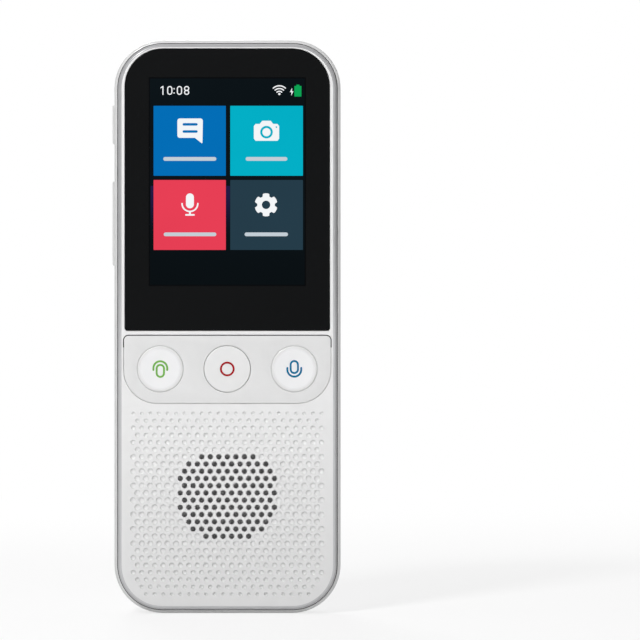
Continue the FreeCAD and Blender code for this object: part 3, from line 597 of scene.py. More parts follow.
class MeshMaker:
    """Collects closed shells in millimetres and turns them into one object in metres."""

    def __init__(self) -> None:
        """Starts with nothing."""
        self.points: List[Tuple[float, float, float]] = []
        self.faces: List[Ring] = []
        self.face_finish: List[int] = []
        self.finish_now = 0

    def loop(self, outline: Sequence[Point], y: float) -> Ring:
        """Adds a closed ring of points in the plane at y.

        Args:
            outline: Points as (x, z).
            y: The plane.

        Returns:
            The points' numbers.
        """
        first = len(self.points)
        self.points.extend((x, y, z) for x, z in outline)
        return list(range(first, len(self.points)))

    def face(self, corners: Ring) -> None:
        """Adds one face with the present finish."""
        self.faces.append(corners)
        self.face_finish.append(self.finish_now)

    def bridge(self, one: Ring, other: Ring) -> None:
        """Joins two rings of as many points with four-sided faces.

        Args:
            one: The first ring.
            other: The second ring.
        """
        count = len(one)
        for i in range(count):
            after = (i + 1) % count
            self.face([one[i], one[after], other[after], other[i]])

    def skin(self, rings: Sequence[Ring]) -> None:
        """Joins each ring to the next."""
        for one, other in zip(rings, rings[1:]):
            self.bridge(one, other)

    def rounded_edge(self, shape: Shape, front: float, edge: float, steps: int) -> List[Ring]:
        """Adds the rings of a rounded edge, from the face to the side.

        Args:
            shape: Gives the outline drawn in by an inset.
            front: The face's plane.
            edge: The rounding, below 0 where the side lies in front of the face.
            steps: Steps along the rounding.

        Returns:
            The rings.
        """
        rings = []
        for step in range(steps + 1):
            angle = TURN / 4 * step / steps
            rings.append(self.loop(shape(abs(edge) * (1 - math.sin(angle))),
                                   front + edge * (1 - math.cos(angle))))
        return rings

    @staticmethod
    def _ring_edges(rings: Sequence[Sequence[object]]) -> List[Tuple[int, int]]:
        """Gives the edges of closed rings whose points are numbered in one row.

        Args:
            rings: The rings.

        Returns:
            Pairs of point numbers.
        """
        edges, start = [], 0
        for ring in rings:
            edges += [(start + i, start + (i + 1) % len(ring)) for i in range(len(ring))]
            start += len(ring)
        return edges

    def cap(self, outer: Ring, holes: Sequence[Ring] = ()) -> None:
        """Fills the flat area between a convex ring and the convex rings inside it.

        Args:
            outer: The outer ring.
            holes: The rings that stay open.
        """
        rings = [outer, *holes]
        numbers = [n for ring in rings for n in ring]
        owner = [r for r, ring in enumerate(rings) for _ in ring]
        flat = [Vector((self.points[n][0], self.points[n][2])) for n in numbers]
        triangles = delaunay_2d_cdt(flat, self._ring_edges(rings), [], 0, FILL_REACH)
        sources = triangles[3]
        for corners in triangles[2]:
            ours = [sources[c][0] for c in corners]
            owners = {owner[o] for o in ours}
            if len(owners) > 1 or owners == {0}:
                self.face([numbers[o] for o in ours])

    def shape(self, outline: Sequence[Point], front: float, back: float,
              holes: Sequence[Sequence[Point]] = ()) -> None:
        """Adds a flat plate of any outline, filled by its own area.

        Args:
            outline: The outer outline.
            front: The front plane.
            back: The back plane.
            holes: Outlines left open.
        """
        self.relief(outline, lambda x, z: front, back - front, holes)

    def relief(self, outline: Sequence[Point], surface: Surface, depth: float,
               holes: Sequence[Sequence[Point]] = ()) -> None:
        """Adds a thin closed plate whose front follows a surface.

        Args:
            outline: The outer outline.
            surface: Gives the front's y at (x, z).
            depth: How deep the plate is.
            holes: Outlines left open.
        """
        rings = [list(outline), *[list(h) for h in holes]]
        flat = [Vector(p) for ring in rings for p in ring]
        places, _, triangles, *_ = delaunay_2d_cdt(flat, self._ring_edges(rings), [], 1, FILL_REACH)
        fronts, backs = (self._copy_points(places, surface, shift) for shift in (0.0, depth))
        sides = set()
        for corners in triangles:
            middle = sum((places[c] for c in corners), Vector((0, 0))) / len(corners)
            if any(encloses(hole, middle) for hole in holes):
                continue
            self.face([fronts[c] for c in corners])
            self.face([backs[c] for c in reversed(corners)])
            sides ^= {tuple(sorted(pair)) for pair in zip(corners, corners[1:] + corners[:1])}
        for one, other in sorted(sides):
            self.face([fronts[one], fronts[other], backs[other], backs[one]])

    def _copy_points(self, flat: Sequence[Vector], surface: Surface, depth: float) -> Ring:
        """Adds points at a depth behind a surface.

        Args:
            flat: The points as (x, z).
            surface: Gives the surface's y at (x, z).
            depth: How far behind it they lie.

        Returns:
            The points' numbers.
        """
        first = len(self.points)
        self.points.extend((p[0], surface(p[0], p[1]) + depth, p[1]) for p in flat)
        return list(range(first, len(self.points)))

    def build(self, name: str, finishes: Sequence[Finish], body: str, slot: str,
              sharp: float = 32.0) -> bpy.types.Object:
        """Makes the object, closes its seams, shades it and lets it ride on a body.

        Args:
            name: The piece's name.
            finishes: Its finishes, in the order of their numbers.
            body: The body that carries it.
            slot: The record's material slot; not used.
            sharp: Edges that turn by more degrees stay sharp.

        Returns:
            The object.
        """
        mesh = bpy.data.meshes.new(name)
        mesh.from_pydata([(x * MM, y * MM, z * MM) for x, y, z in self.points], [], self.faces)
        for finish in finishes:
            mesh.materials.append(finish.material())
        mesh.polygons.foreach_set("material_index", self.face_finish)
        return settle(add_object(name, mesh), body, sharp)


def settle(piece: bpy.types.Object, body: str, sharp: float) -> bpy.types.Object:
    """Closes a piece's seams, turns its faces outwards, shades it and lets it ride.

    Args:
        piece: The object.
        body: The body that carries it.
        sharp: Edges that turn by more degrees stay sharp.

    Returns:
        The same object.
    """
    work = bmesh.new()
    work.from_mesh(piece.data)
    bmesh.ops.remove_doubles(work, verts=work.verts, dist=SEAM_REACH * MM)
    bmesh.ops.dissolve_degenerate(work, edges=work.edges, dist=SPECK_REACH * MM)
    bmesh.ops.recalc_face_normals(work, faces=work.faces)
    limit = math.radians(sharp)
    for edge in work.edges:
        edge.smooth = len(edge.link_faces) == 2 and edge.calc_face_angle(0.0) < limit
    for polygon in work.faces:
        polygon.smooth = True
    work.to_mesh(piece.data)
    work.free()
    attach(piece, body)
    log.info("%s: %d faces on %s", piece.name, len(piece.data.polygons), body)
    return piece


@dataclass
class DotGrid:
    """The dots of the lower face: through holes in a circle, shallow dimples around it.

    Attributes:
        first_row: Height of the top row.
        row_spacing: Distance between rows.
        pitch: Distance between dots in a row.
        rows: Number of rows.
        columns: Dots in the first row.
        hole_radius: Radius of the through holes.
        grille_radius: Radius of the circle that holds them.
        grille_middle: Height of that circle's middle.
        grille_rows: Rows that have through holes.
        dimple_depth: Depth of a dimple.
        least_radius: Radius of the dimples in the first and last row.
        most_radius: Radius of the dimples in the middle row.
        swell: How quickly the dimples grow towards the middle.
        corner_trim: Dots left out at each end of the last rows.
        trimmed_rows: Number of those rows.
        cup: A dimple's profile as shares of its radius and depth.
        steps: Points around each dot.
    """

    first_row: float
    grille_middle: float
    row_spacing: float = 1.714
    pitch: float = 2.03
    rows: int = 26
    columns: int = 23
    hole_radius: float = 0.65
    grille_radius: float = 12.0
    grille_rows: int = 12
    dimple_depth: float = 0.34
    least_radius: float = 0.42
    most_radius: float = 0.74
    swell: float = 0.7
    corner_trim: int = 1
    trimmed_rows: int = 2
    cup: Tuple[Point, ...] = ((1.0, 0.0), (0.965, 0.55), (0.9, 0.88), (0.8, 1.0))
    steps: int = 16

    def dots(self) -> List[Tuple[float, float, float, bool]]:
        """Gives the place, size and kind of every dot.

        Returns:
            Each dot as (x, z, radius, through).
        """
        found = []
        for row in range(self.rows):
            count = self.columns - row % 2
            z = self.first_row - row * self.row_spacing
            for column in range(count):
                x = (column - (count - 1) / 2) * self.pitch
                from_end = min(column, count - 1 - column)
                if row >= self.rows - self.trimmed_rows and from_end < self.corner_trim:
                    continue
                up = z - self.grille_middle
                through = (abs(up) <= self.grille_rows / 2 * self.row_spacing
                           and math.hypot(x, up) <= self.grille_radius)
                found.append((x, z, self.hole_radius if through else self.radius(row), through))
        return found

    def radius(self, row: int) -> float:
        """Gives the radius of a row's dimples, smaller towards the top and bottom rows."""
        share = max(0.0, math.sin(math.pi * row / (self.rows - 1))) ** self.swell
        return self.least_radius + (self.most_radius - self.least_radius) * share

    def walls(self, front: float, back: float) -> bpy.types.Object:
        """Sets a cup on every dimple and a tube on every hole with Geometry Nodes.

        Args:
            front: The face's plane.
            back: The plane where the tubes end.

        Returns:
            A plain mesh object of all cups and tubes.
        """
        cup = self._turned("cup", self.cup, True)
        tube = self._turned("tube", [(1.0, 0.0), (1.0, 1.0)], False)
        dots = self.dots()
        mesh = bpy.data.meshes.new("dot_places")
        mesh.from_pydata([(x * MM, front * MM, z * MM) for x, z, _, _ in dots], [], [])
        radius = mesh.attributes.new("dot_radius", "FLOAT", "POINT")
        radius.data.foreach_set("value", [r * MM for _, _, r, _ in dots])
        through = mesh.attributes.new("dot_through", "BOOLEAN", "POINT")
        through.data.foreach_set("value", [t for _, _, _, t in dots])
        places = add_object("dot_places", mesh)
        tree = self._tree()
        modifier = places.modifiers.new("dots", "NODES")
        modifier.node_group = tree
        values = {"Cup": cup, "Tube": tube, "Cup depth": self.dimple_depth * MM,
                  "Tube length": (back - front) * MM, "Cup finish": FACE_WHITE.material(),
                  "Tube finish": HOLE_WALL_SHADE.material()}
        for item in tree.interface.items_tree:
            if item.item_type == "SOCKET" and item.in_out == "INPUT" and item.name in values:
                modifier[item.identifier] = values[item.name]
        places.update_tag()
        bpy.context.view_layer.update()
        evaluated = places.evaluated_get(bpy.context.evaluated_depsgraph_get())
        made = add_object("dot_walls", bpy.data.meshes.new_from_object(evaluated))
        for spare in (places, cup, tube):
            bpy.data.objects.remove(spare)
        return made

    def _turned(self, name: str, profile: Sequence[Point], closed: bool) -> bpy.types.Object:
        """Turns a profile of (radius, depth) about the Y axis, unit sized.

        Args:
            name: The object's name.
            profile: The profile's points.
            closed: Whether a middle point closes it.

        Returns:
            The object.
        """
        points, faces = [], []
        for radius, depth in profile:
            points += [(x, depth, z) for x, z in circle(radius, steps=self.steps)]
        for ring in range(len(profile) - 1):
            base = ring * self.steps
            for i in range(self.steps):
                after = (i + 1) % self.steps
                faces.append((base + i, base + after, base + self.steps + after, base + self.steps + i))
        if closed:
            last = (len(profile) - 1) * self.steps
            faces.append(tuple(range(last, last + self.steps)))
        mesh = bpy.data.meshes.new(name)
        mesh.from_pydata(points, [], faces)
        return add_object(name, mesh)

    @staticmethod
    def _tree() -> bpy.types.NodeTree:
        """Builds the Geometry Nodes tree that sets cups and tubes on the dots.

        Returns:
            The tree, with its sizes and finishes as named inputs.
        """
        tree = bpy.data.node_groups.new("dot_walls", "GeometryNodeTree")
        ports = tree.interface
        for name, kind in (("Geometry", "Geometry"), ("Cup", "Object"), ("Tube", "Object"),
                           ("Cup depth", "Float"), ("Tube length", "Float"),
                           ("Cup finish", "Material"), ("Tube finish", "Material")):
            ports.new_socket(name, in_out="INPUT", socket_type="NodeSocket" + kind)
        ports.new_socket("Geometry", in_out="OUTPUT", socket_type="NodeSocketGeometry")
        nodes, links = tree.nodes, tree.links
        entry, leave = nodes.new("NodeGroupInput"), nodes.new("NodeGroupOutput")
        join = nodes.new("GeometryNodeJoinGeometry")
        width = nodes.new("GeometryNodeInputNamedAttribute")
        width.data_type = "FLOAT"
        width.inputs["Name"].default_value = "dot_radius"
        chosen = nodes.new("GeometryNodeInputNamedAttribute")
        chosen.data_type = "BOOLEAN"
        chosen.inputs["Name"].default_value = "dot_through"
        other = nodes.new("FunctionNodeBooleanMath")
        other.operation = "NOT"
        links.new(chosen.outputs["Attribute"], other.inputs[0])
        for shape, depth, choice in (("Cup", "Cup depth", other.outputs[0]),
                                     ("Tube", "Tube length", chosen.outputs["Attribute"])):
            read = nodes.new("GeometryNodeObjectInfo")
            place = nodes.new("GeometryNodeInstanceOnPoints")
            size = nodes.new("ShaderNodeCombineXYZ")
            realize = nodes.new("GeometryNodeRealizeInstances")
            dress = nodes.new("GeometryNodeSetMaterial")
            for output, entrance in ((entry.outputs[shape], read.inputs["Object"]),
                                     (entry.outputs["Geometry"], place.inputs["Points"]),
                                     (read.outputs["Geometry"], place.inputs["Instance"]),
                                     (choice, place.inputs["Selection"]),
                                     (width.outputs["Attribute"], size.inputs["X"]),
                                     (entry.outputs[depth], size.inputs["Y"]),
                                     (width.outputs["Attribute"], size.inputs["Z"]),
                                     (size.outputs["Vector"], place.inputs["Scale"]),
                                     (place.outputs["Instances"], realize.inputs["Geometry"]),
                                     (realize.outputs["Geometry"], dress.inputs["Geometry"]),
                                     (entry.outputs[shape + " finish"], dress.inputs["Material"]),
                                     (dress.outputs["Geometry"], join.inputs["Geometry"])):
                links.new(output, entrance)
        links.new(join.outputs["Geometry"], leave.inputs["Geometry"])
        return tree


@dataclass
class FrontCover:
    """The silver-white front cover with its recesses, dots and rounded edge.

    Attributes:
        corner_radius: Radius of the outline's corners.
        edge_radius: Rounding of the front edge.
        edge_steps: Steps along that rounding.
        side_height: Height of the side above the seam.
        lip_inset: How far the lip stands inside the outline.
        lip_wall: The lip's thickness.
        lip_depth: How far behind the face the lip ends.
        plate: Thickness of the plate.
        pocket_gap: Gap around the glass and the key panel.
        rim_round: Rounding of the recesses' rims.
        opening_gap: Gap around the display.
        opening_radius: Radius of the display opening's corners.
        flex_passage: Room under the display for its flex.
        key_gap: Gap around the keys.
        tape: Thickness of the tape under the glass.
        glass_radii: Upper and lower corner radius of the glass.
        panel_radii: Upper and lower corner radius of the key panel.
        first_row_drop: From the panel's lower edge to the first row of dots.
    """

    corner_radius: float = COVER_RADIUS
    edge_radius: float = 0.9
    edge_steps: int = 8
    side_height: float = 1.2
    lip_inset: float = 1.0
    lip_wall: float = 1.0
    lip_depth: float = 3.2
    plate: float = 2.0
    pocket_gap: float = 0.1
    rim_round: float = 0.08
    opening_gap: float = 0.3
    opening_radius: float = 0.4
    flex_passage: float = 1.5
    key_gap: float = 0.1
    tape: float = 0.15
    glass_radii: Point = GLASS_RADII
    panel_radii: Point = PANEL_RADII
    first_row_drop: float = 2.4

    def build(self) -> bpy.types.Object:
        """Builds the cover and hides the plain one.

        Returns:
            The cover.
        """
        front = node_box("front_cover")[0].y
        inner, side_end = front + self.plate, front + self.side_height
        maker = MeshMaker()

        def outline(inset: float) -> List[Point]:
            """Gives the cover's outline drawn in by inset."""
            return around_node("front_cover", self.corner_radius, self.corner_radius, -inset)

        edge = maker.rounded_edge(outline, front, self.edge_radius, self.edge_steps)
        edge.append(maker.loop(outline(0), side_end))
        # The rounded edge and side take the silver grey, which is partly painted shade.
        maker.finish_now = 2
        maker.skin(edge)
        maker.finish_now = 0
        back_inset, lip_end = self.lip_inset + self.lip_wall, front + self.lip_depth
        lip = [maker.loop(outline(inset), y)
               for inset, y in ((self.lip_inset, side_end), (self.lip_inset, lip_end),
                                (back_inset, lip_end), (back_inset, inner))]
        maker.skin([edge[-1], *lip])

        glass = self._glass_pocket(maker, front, inner)
        panel, key_holes = self._panel_pocket(maker, front, inner)
        grid = DotGrid(node_box("button_panel")[0].z - self.first_row_drop, node_middle("speaker_mesh")[1])
        dots = grid.dots()
        rims = [maker.loop(circle(r, x, z, grid.steps), front) for x, z, r, _ in dots]
        ends = [maker.loop(circle(r, x, z, grid.steps), inner) for x, z, r, through in dots if through]
        maker.cap(edge[0], [glass[0], panel, *rims])
        maker.cap(lip[-1], [glass[1], *key_holes, *ends])
        walls = grid.walls(front, inner)
        piece = maker.build("front_cover_shell", [FACE_WHITE, HOLE_WALL_SHADE, EDGE_SILVER_AND_SHADE], HOUSING,
                            "front_shell")
        return self._join(piece, walls)

    def _pocket(self, maker: MeshMaker, node: str, radii: Point, front: float,
                floor: float) -> Tuple[Ring, Ring]:
        """Adds the wall of a recess around a node, with a finely rounded rim.

        Args:
            maker: Collects the faces.
            node: The node that lies in the recess.
            radii: Its upper and lower corner radius.
            front: The face's plane.
            floor: The recess's plane.

        Returns:
            The ring at the face and the ring at the recess's floor.
        """
        rings = [maker.loop(around_node(node, *radii, grown), y)
                 for grown, y in ((self.pocket_gap + self.rim_round, front),
                                  (self.pocket_gap, front + self.rim_round), (self.pocket_gap, floor))]
        maker.skin(rings)
        return rings[0], rings[-1]

    def _glass_pocket(self, maker: MeshMaker, front: float, inner: float) -> Tuple[Ring, Ring]:
        """Adds the glass's recess and the display's opening.

        Args:
            maker: Collects the faces.
            front: The face's plane.
            inner: The plate's inner plane.

        Returns:
            The ring at the face and the ring at the inner plane.
        """
        floor = node_box("touch_glass")[1].y + self.tape
        rim, foot = self._pocket(maker, "touch_glass", self.glass_radii, front, floor)
        low, high = node_box("lcd_cell")
        opening = rounded_outline(high.x + self.opening_gap, low.z - self.flex_passage,
                                  high.z + self.opening_gap, self.opening_radius, self.opening_radius, 4)
        edge, end = maker.loop(opening, floor), maker.loop(opening, inner)
        maker.bridge(edge, end)
        maker.cap(foot, [edge])
        return rim, end

    def _panel_pocket(self, maker: MeshMaker, front: float, inner: float) -> Tuple[Ring, List[Ring]]:
        """Adds the key panel's recess and the three key holes.

        Args:
            maker: Collects the faces.
            front: The face's plane.
            inner: The plate's inner plane.

        Returns:
            The ring at the face and the holes' rings at the inner plane.
        """
        floor = node_box("button_panel")[1].y
        rim, foot = self._pocket(maker, "button_panel", self.panel_radii, front, floor)
        edges, ends = [], []
        for x, z in key_places():
            edges.append(maker.loop(circle(KEY_RADIUS + self.key_gap, x, z), floor))
            ends.append(maker.loop(circle(KEY_RADIUS + self.key_gap, x, z), inner))
            maker.bridge(edges[-1], ends[-1])
        maker.cap(foot, edges)
        return rim, ends

    @staticmethod
    def _join(piece: bpy.types.Object, walls: bpy.types.Object) -> bpy.types.Object:
        """Joins the dots' walls to the cover and closes their seams.

        Args:
            piece: The cover.
            walls: The cups and tubes.

        Returns:
            The cover.
        """
        # The holes' walls take the darker grey, which is painted shade in the holes.
        dark = [finish == HOLE_WALL_SHADE.material() for finish in walls.data.materials]
        for polygon in walls.data.polygons:
            polygon.material_index = int(dark[polygon.material_index])
        work = bmesh.new()
        work.from_mesh(piece.data)
        work.from_mesh(walls.data)
        work.to_mesh(piece.data)
        work.free()
        bpy.data.objects.remove(walls)
        settle(piece, HOUSING, 38.0)
        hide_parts("front_cover")
        return piece


def key_places() -> List[Point]:
    """Gives the middles of the three front keys as (x, z)."""
    return [node_middle(name) for name in ("key_left", "key_centre", "key_right")]


@dataclass
class SeamShadowStrips:
    """The thin dark gaskets that show in the two seams of the face.

    Attributes:
        width: How far the outer strip shows outside the front cover.
        depth: How far it reaches in between the covers.
        thickness: Its thickness.
        clearance: Its distance from the middle frame.
        corner_radius: Radius of the cover's corners.
        strip: Width of the strip along the key panel's top.
        strip_end: How far the strip's ends reach down past the corners.
        strip_offset: How far outside the panel its middle runs.
        strip_radius: Radius of its corners.
        strip_rise: How far it stands in front of the panel.
        strip_depth: How far it reaches behind the panel's face.
    """

    width: float = 0.17
    depth: float = 0.5
    thickness: float = 0.1
    clearance: float = 0.005
    corner_radius: float = COVER_RADIUS
    strip: float = 0.24
    strip_end: float = 1.6
    strip_offset: float = 0.06
    strip_radius: float = PANEL_RADII[0]
    strip_rise: float = 0.012
    strip_depth: float = 0.2

    def build(self) -> List[bpy.types.Object]:
        """Builds the painted shadow ring around the cover and the shadow strip along the panel's top.

        Returns:
            The ring and the strip.
        """
        # A dark ring in the cover's seam and a strip along the panel's top stand for the shadow there:
        # painted shadow.
        seam = node_box("middle_frame")[0].y
        outer, inner = (around_node("front_cover", self.corner_radius, self.corner_radius, grown)
                        for grown in (self.width, -self.depth))
        maker = MeshMaker()
        maker.shape(outer, seam - self.thickness, seam - self.clearance, [inner])
        ring = maker.build("cover_seam_gasket", [SHADOW_STRIP_DARK], HOUSING, "adhesive")
        low, high = node_box("button_panel")
        radius = self.strip_radius
        top, side = high.z + self.strip_offset, high.x + self.strip_offset
        path = [(side, top - radius - self.strip_end)]
        path += arc(radius, 0, 90, side - radius, top - radius, 8)
        path += arc(radius, 90, 180, radius - side, top - radius, 8)
        path.append((-side, top - radius - self.strip_end))
        strip = MeshMaker()
        strip.shape(stroke(path, self.strip), low.y - self.strip_rise, low.y + self.strip_depth)
        return [ring, strip.build("panel_seam_gasket", [SHADOW_STRIP_DARK], HOUSING, "adhesive")]


@dataclass
class KeyPanel:
    """The inset plate around the three keys.

    Attributes:
        radii: Its upper and lower corner radius.
        edge: Rounding of its edges.
        edge_steps: Steps along that rounding.
        key_gap: Gap around the middle key.
        outer_key_gap: Gap around the two talk keys.
    """

    radii: Point = PANEL_RADII
    edge: float = 0.12
    edge_steps: int = 3
    key_gap: float = 0.1
    outer_key_gap: float = 0.03

    def build(self) -> bpy.types.Object:
        """Builds the plate and hides the plain one.

        Returns:
            The plate.
        """
        low, high = node_box("button_panel")
        maker = MeshMaker()

        def rings_of(shape: Shape) -> List[Ring]:
            """Adds a rounded edge and the wall under it.

            Args:
                shape: Gives the outline drawn in by an inset.

            Returns:
                The rings.
            """
            rings = maker.rounded_edge(shape, low.y, self.edge, self.edge_steps)
            rings.append(maker.loop(shape(0), high.y))
            maker.skin(rings)
            return rings

        outer = rings_of(lambda inset: around_node("button_panel", *self.radii, -inset))
        holes = []
        for x, z in key_places():
            reach = KEY_RADIUS + (self.key_gap if x == 0 else self.outer_key_gap)
            holes.append(rings_of(lambda inset, x=x, z=z, reach=reach: circle(reach + inset, x, z)))
        maker.cap(outer[0], [h[0] for h in holes])
        maker.cap(outer[-1], [h[-1] for h in holes])
        piece = maker.build("key_panel_plate", [PANEL_WHITE], HOUSING, "panel_plastic")
        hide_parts("button_panel")
        return piece


class KeyMark(Enum):
    """What is printed on a front key."""

    MICROPHONE_DOWN = "microphone_down"
    RING = "ring"
    MICROPHONE_UP = "microphone_up"


@dataclass
class FrontKey:
    """A round front key with its printed mark.

    Attributes:
        node: The CAD node it stands for.
        body: The body it rides on.
        mark: What is printed on it.
        mark_finish: The print's finish.
        cap_finishes: The finishes of the cap's middle, of the soft ring around it and of its rim; on the talk
            keys, the ring and rim are painted darker than the middle as shade around the dish.
        slot: The record's material slot.
        dish_depth: Depth of the finger dish, 0 for a flat key.
        dish_radius: Radius of the dish.
        dish_rings: Rings that make up the dish.
        middle_radius: Radius of the innermost ring.
        soft_ring: How far past the dish the soft ring starts and ends.
        edge: Rounding of the rim.
        flange_thickness: Thickness of the flange under the panel.
        flange_radius: Radius of the flange.
        print_thickness: How far the print stands proud.
        print_root: How far it reaches into the cap.
        pen: Width of the print's lines.
        ring_radius: Outer radius of the ring mark.
        capsule: Width, height and middle height of the microphone's capsule.
        cradle: Radius, end height and middle height of the arc under it.
        steps: Points around the key.
    """

    node: str
    body: str
    mark: KeyMark
    mark_finish: Finish
    cap_finishes: Tuple[Finish, Finish, Finish]
    slot: str
    dish_depth: float = 0.0
    dish_radius: float = 4.6
    dish_rings: int = 14
    middle_radius: float = 0.25
    soft_ring: Point = (0.05, 0.25)
    edge: float = 0.25
    flange_thickness: float = 0.6
    flange_radius: float = 6.2
    print_thickness: float = 0.02
    print_root: float = 0.03
    pen: float = 0.46
    ring_radius: float = 1.74
    capsule: Tuple[float, float, float] = (2.2, 3.3, 0.455)
    cradle: Tuple[float, float, float] = (1.64, 0.24, -0.18)
    steps: int = 64

    def build(self) -> List[bpy.types.Object]:
        """Builds the cap and its mark and hides the plain key.

        Returns:
            The cap and the mark.
        """
        x, z = node_middle(self.node)
        maker = MeshMaker()

        def ring(radius: float, y: float) -> Ring:
            """Adds a ring around the key's middle."""
            return maker.loop(circle(radius, x, z, self.steps), y)

        top, back = (corner.y for corner in node_box(self.node))
        dish = [ring(radius, top + self._dip(radius))
                for radius in [self.middle_radius + self.dish_radius * i / self.dish_rings
                               for i in range(self.dish_rings)]]
        maker.skin(dish)
        maker.cap(dish[0])
        soft = [ring(self.dish_radius + past, top) for past in self.soft_ring]
        # The soft ring and the rim take darker greys: painted shade around the dish.
        maker.finish_now = 1
        maker.skin([dish[-1], *soft])
        maker.finish_now = 2
        rim = maker.rounded_edge(lambda inset: circle(KEY_RADIUS - inset, x, z, self.steps), top,
                                 self.edge, 5)
        flange = back - self.flange_thickness
        foot = [ring(KEY_RADIUS, flange), ring(self.flange_radius, flange), ring(self.flange_radius, back)]
        maker.skin([soft[-1], *rim, *foot])
        maker.cap(foot[-1])
        cap = maker.build(self.node + "_cap", list(self.cap_finishes), self.body, self.slot, 50.0)
        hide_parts(self.node)
        return [cap, self._print(x, z, top)]

    def _dip(self, away: float) -> float:
        """Gives the dish's depth at a distance from the key's middle.

        Args:
            away: The distance.

        Returns:
            The depth, 0 outside the dish.
        """
        if self.dish_depth == 0 or away >= self.dish_radius:
            return 0.0
        ball = (self.dish_radius ** 2 + self.dish_depth ** 2) / (2 * self.dish_depth)
        return math.sqrt(ball ** 2 - away ** 2) - (ball - self.dish_depth)

    def _print(self, x: float, z: float, top: float) -> bpy.types.Object:
        """Builds the printed mark, which follows the dish.

        Args:
            x: The key's middle x.
            z: The key's middle z.
            top: The key's front plane.

        Returns:
            The mark's object.
        """
        def surface(px: float, pz: float) -> float:
            """Gives the print's y at a point."""
            return top + self._dip(math.hypot(px - x, pz - z)) - self.print_thickness

        ink = MeshMaker()
        for outline, holes in self._mark_outlines():
            ink.relief(shifted(outline, x, z), surface, self.print_thickness + self.print_root,
                       [shifted(hole, x, z) for hole in holes])
        return ink.build(self.node + "_mark", [self.mark_finish], self.body, self.slot)

    def _mark_outlines(self) -> List[Figure]:
        """Gives the mark's shapes around the key's middle, each with its holes.

        Returns:
            The shapes.
        """
        if self.mark is KeyMark.RING:
            return [(circle(self.ring_radius), [circle(self.ring_radius - self.pen)])]
        up = 1 if self.mark is KeyMark.MICROPHONE_UP else -1

        def turned(points: Sequence[Point]) -> List[Point]:
            """Turns the mark upside down for the other speaker."""
            return [(px * up, pz * up) for px, pz in points]

        width, height, middle = self.capsule
        capsule, hollow = (stadium(width - drawn, height - drawn, 0, middle) for drawn in (0, 2 * self.pen))
        reach, end, low = self.cradle
        cradle = [(-reach, end), *arc(reach, 180, 360, 0, low), (reach, end)]
        return [(turned(capsule), [turned(hollow)]), (turned(stroke(cradle, self.pen)), [])]


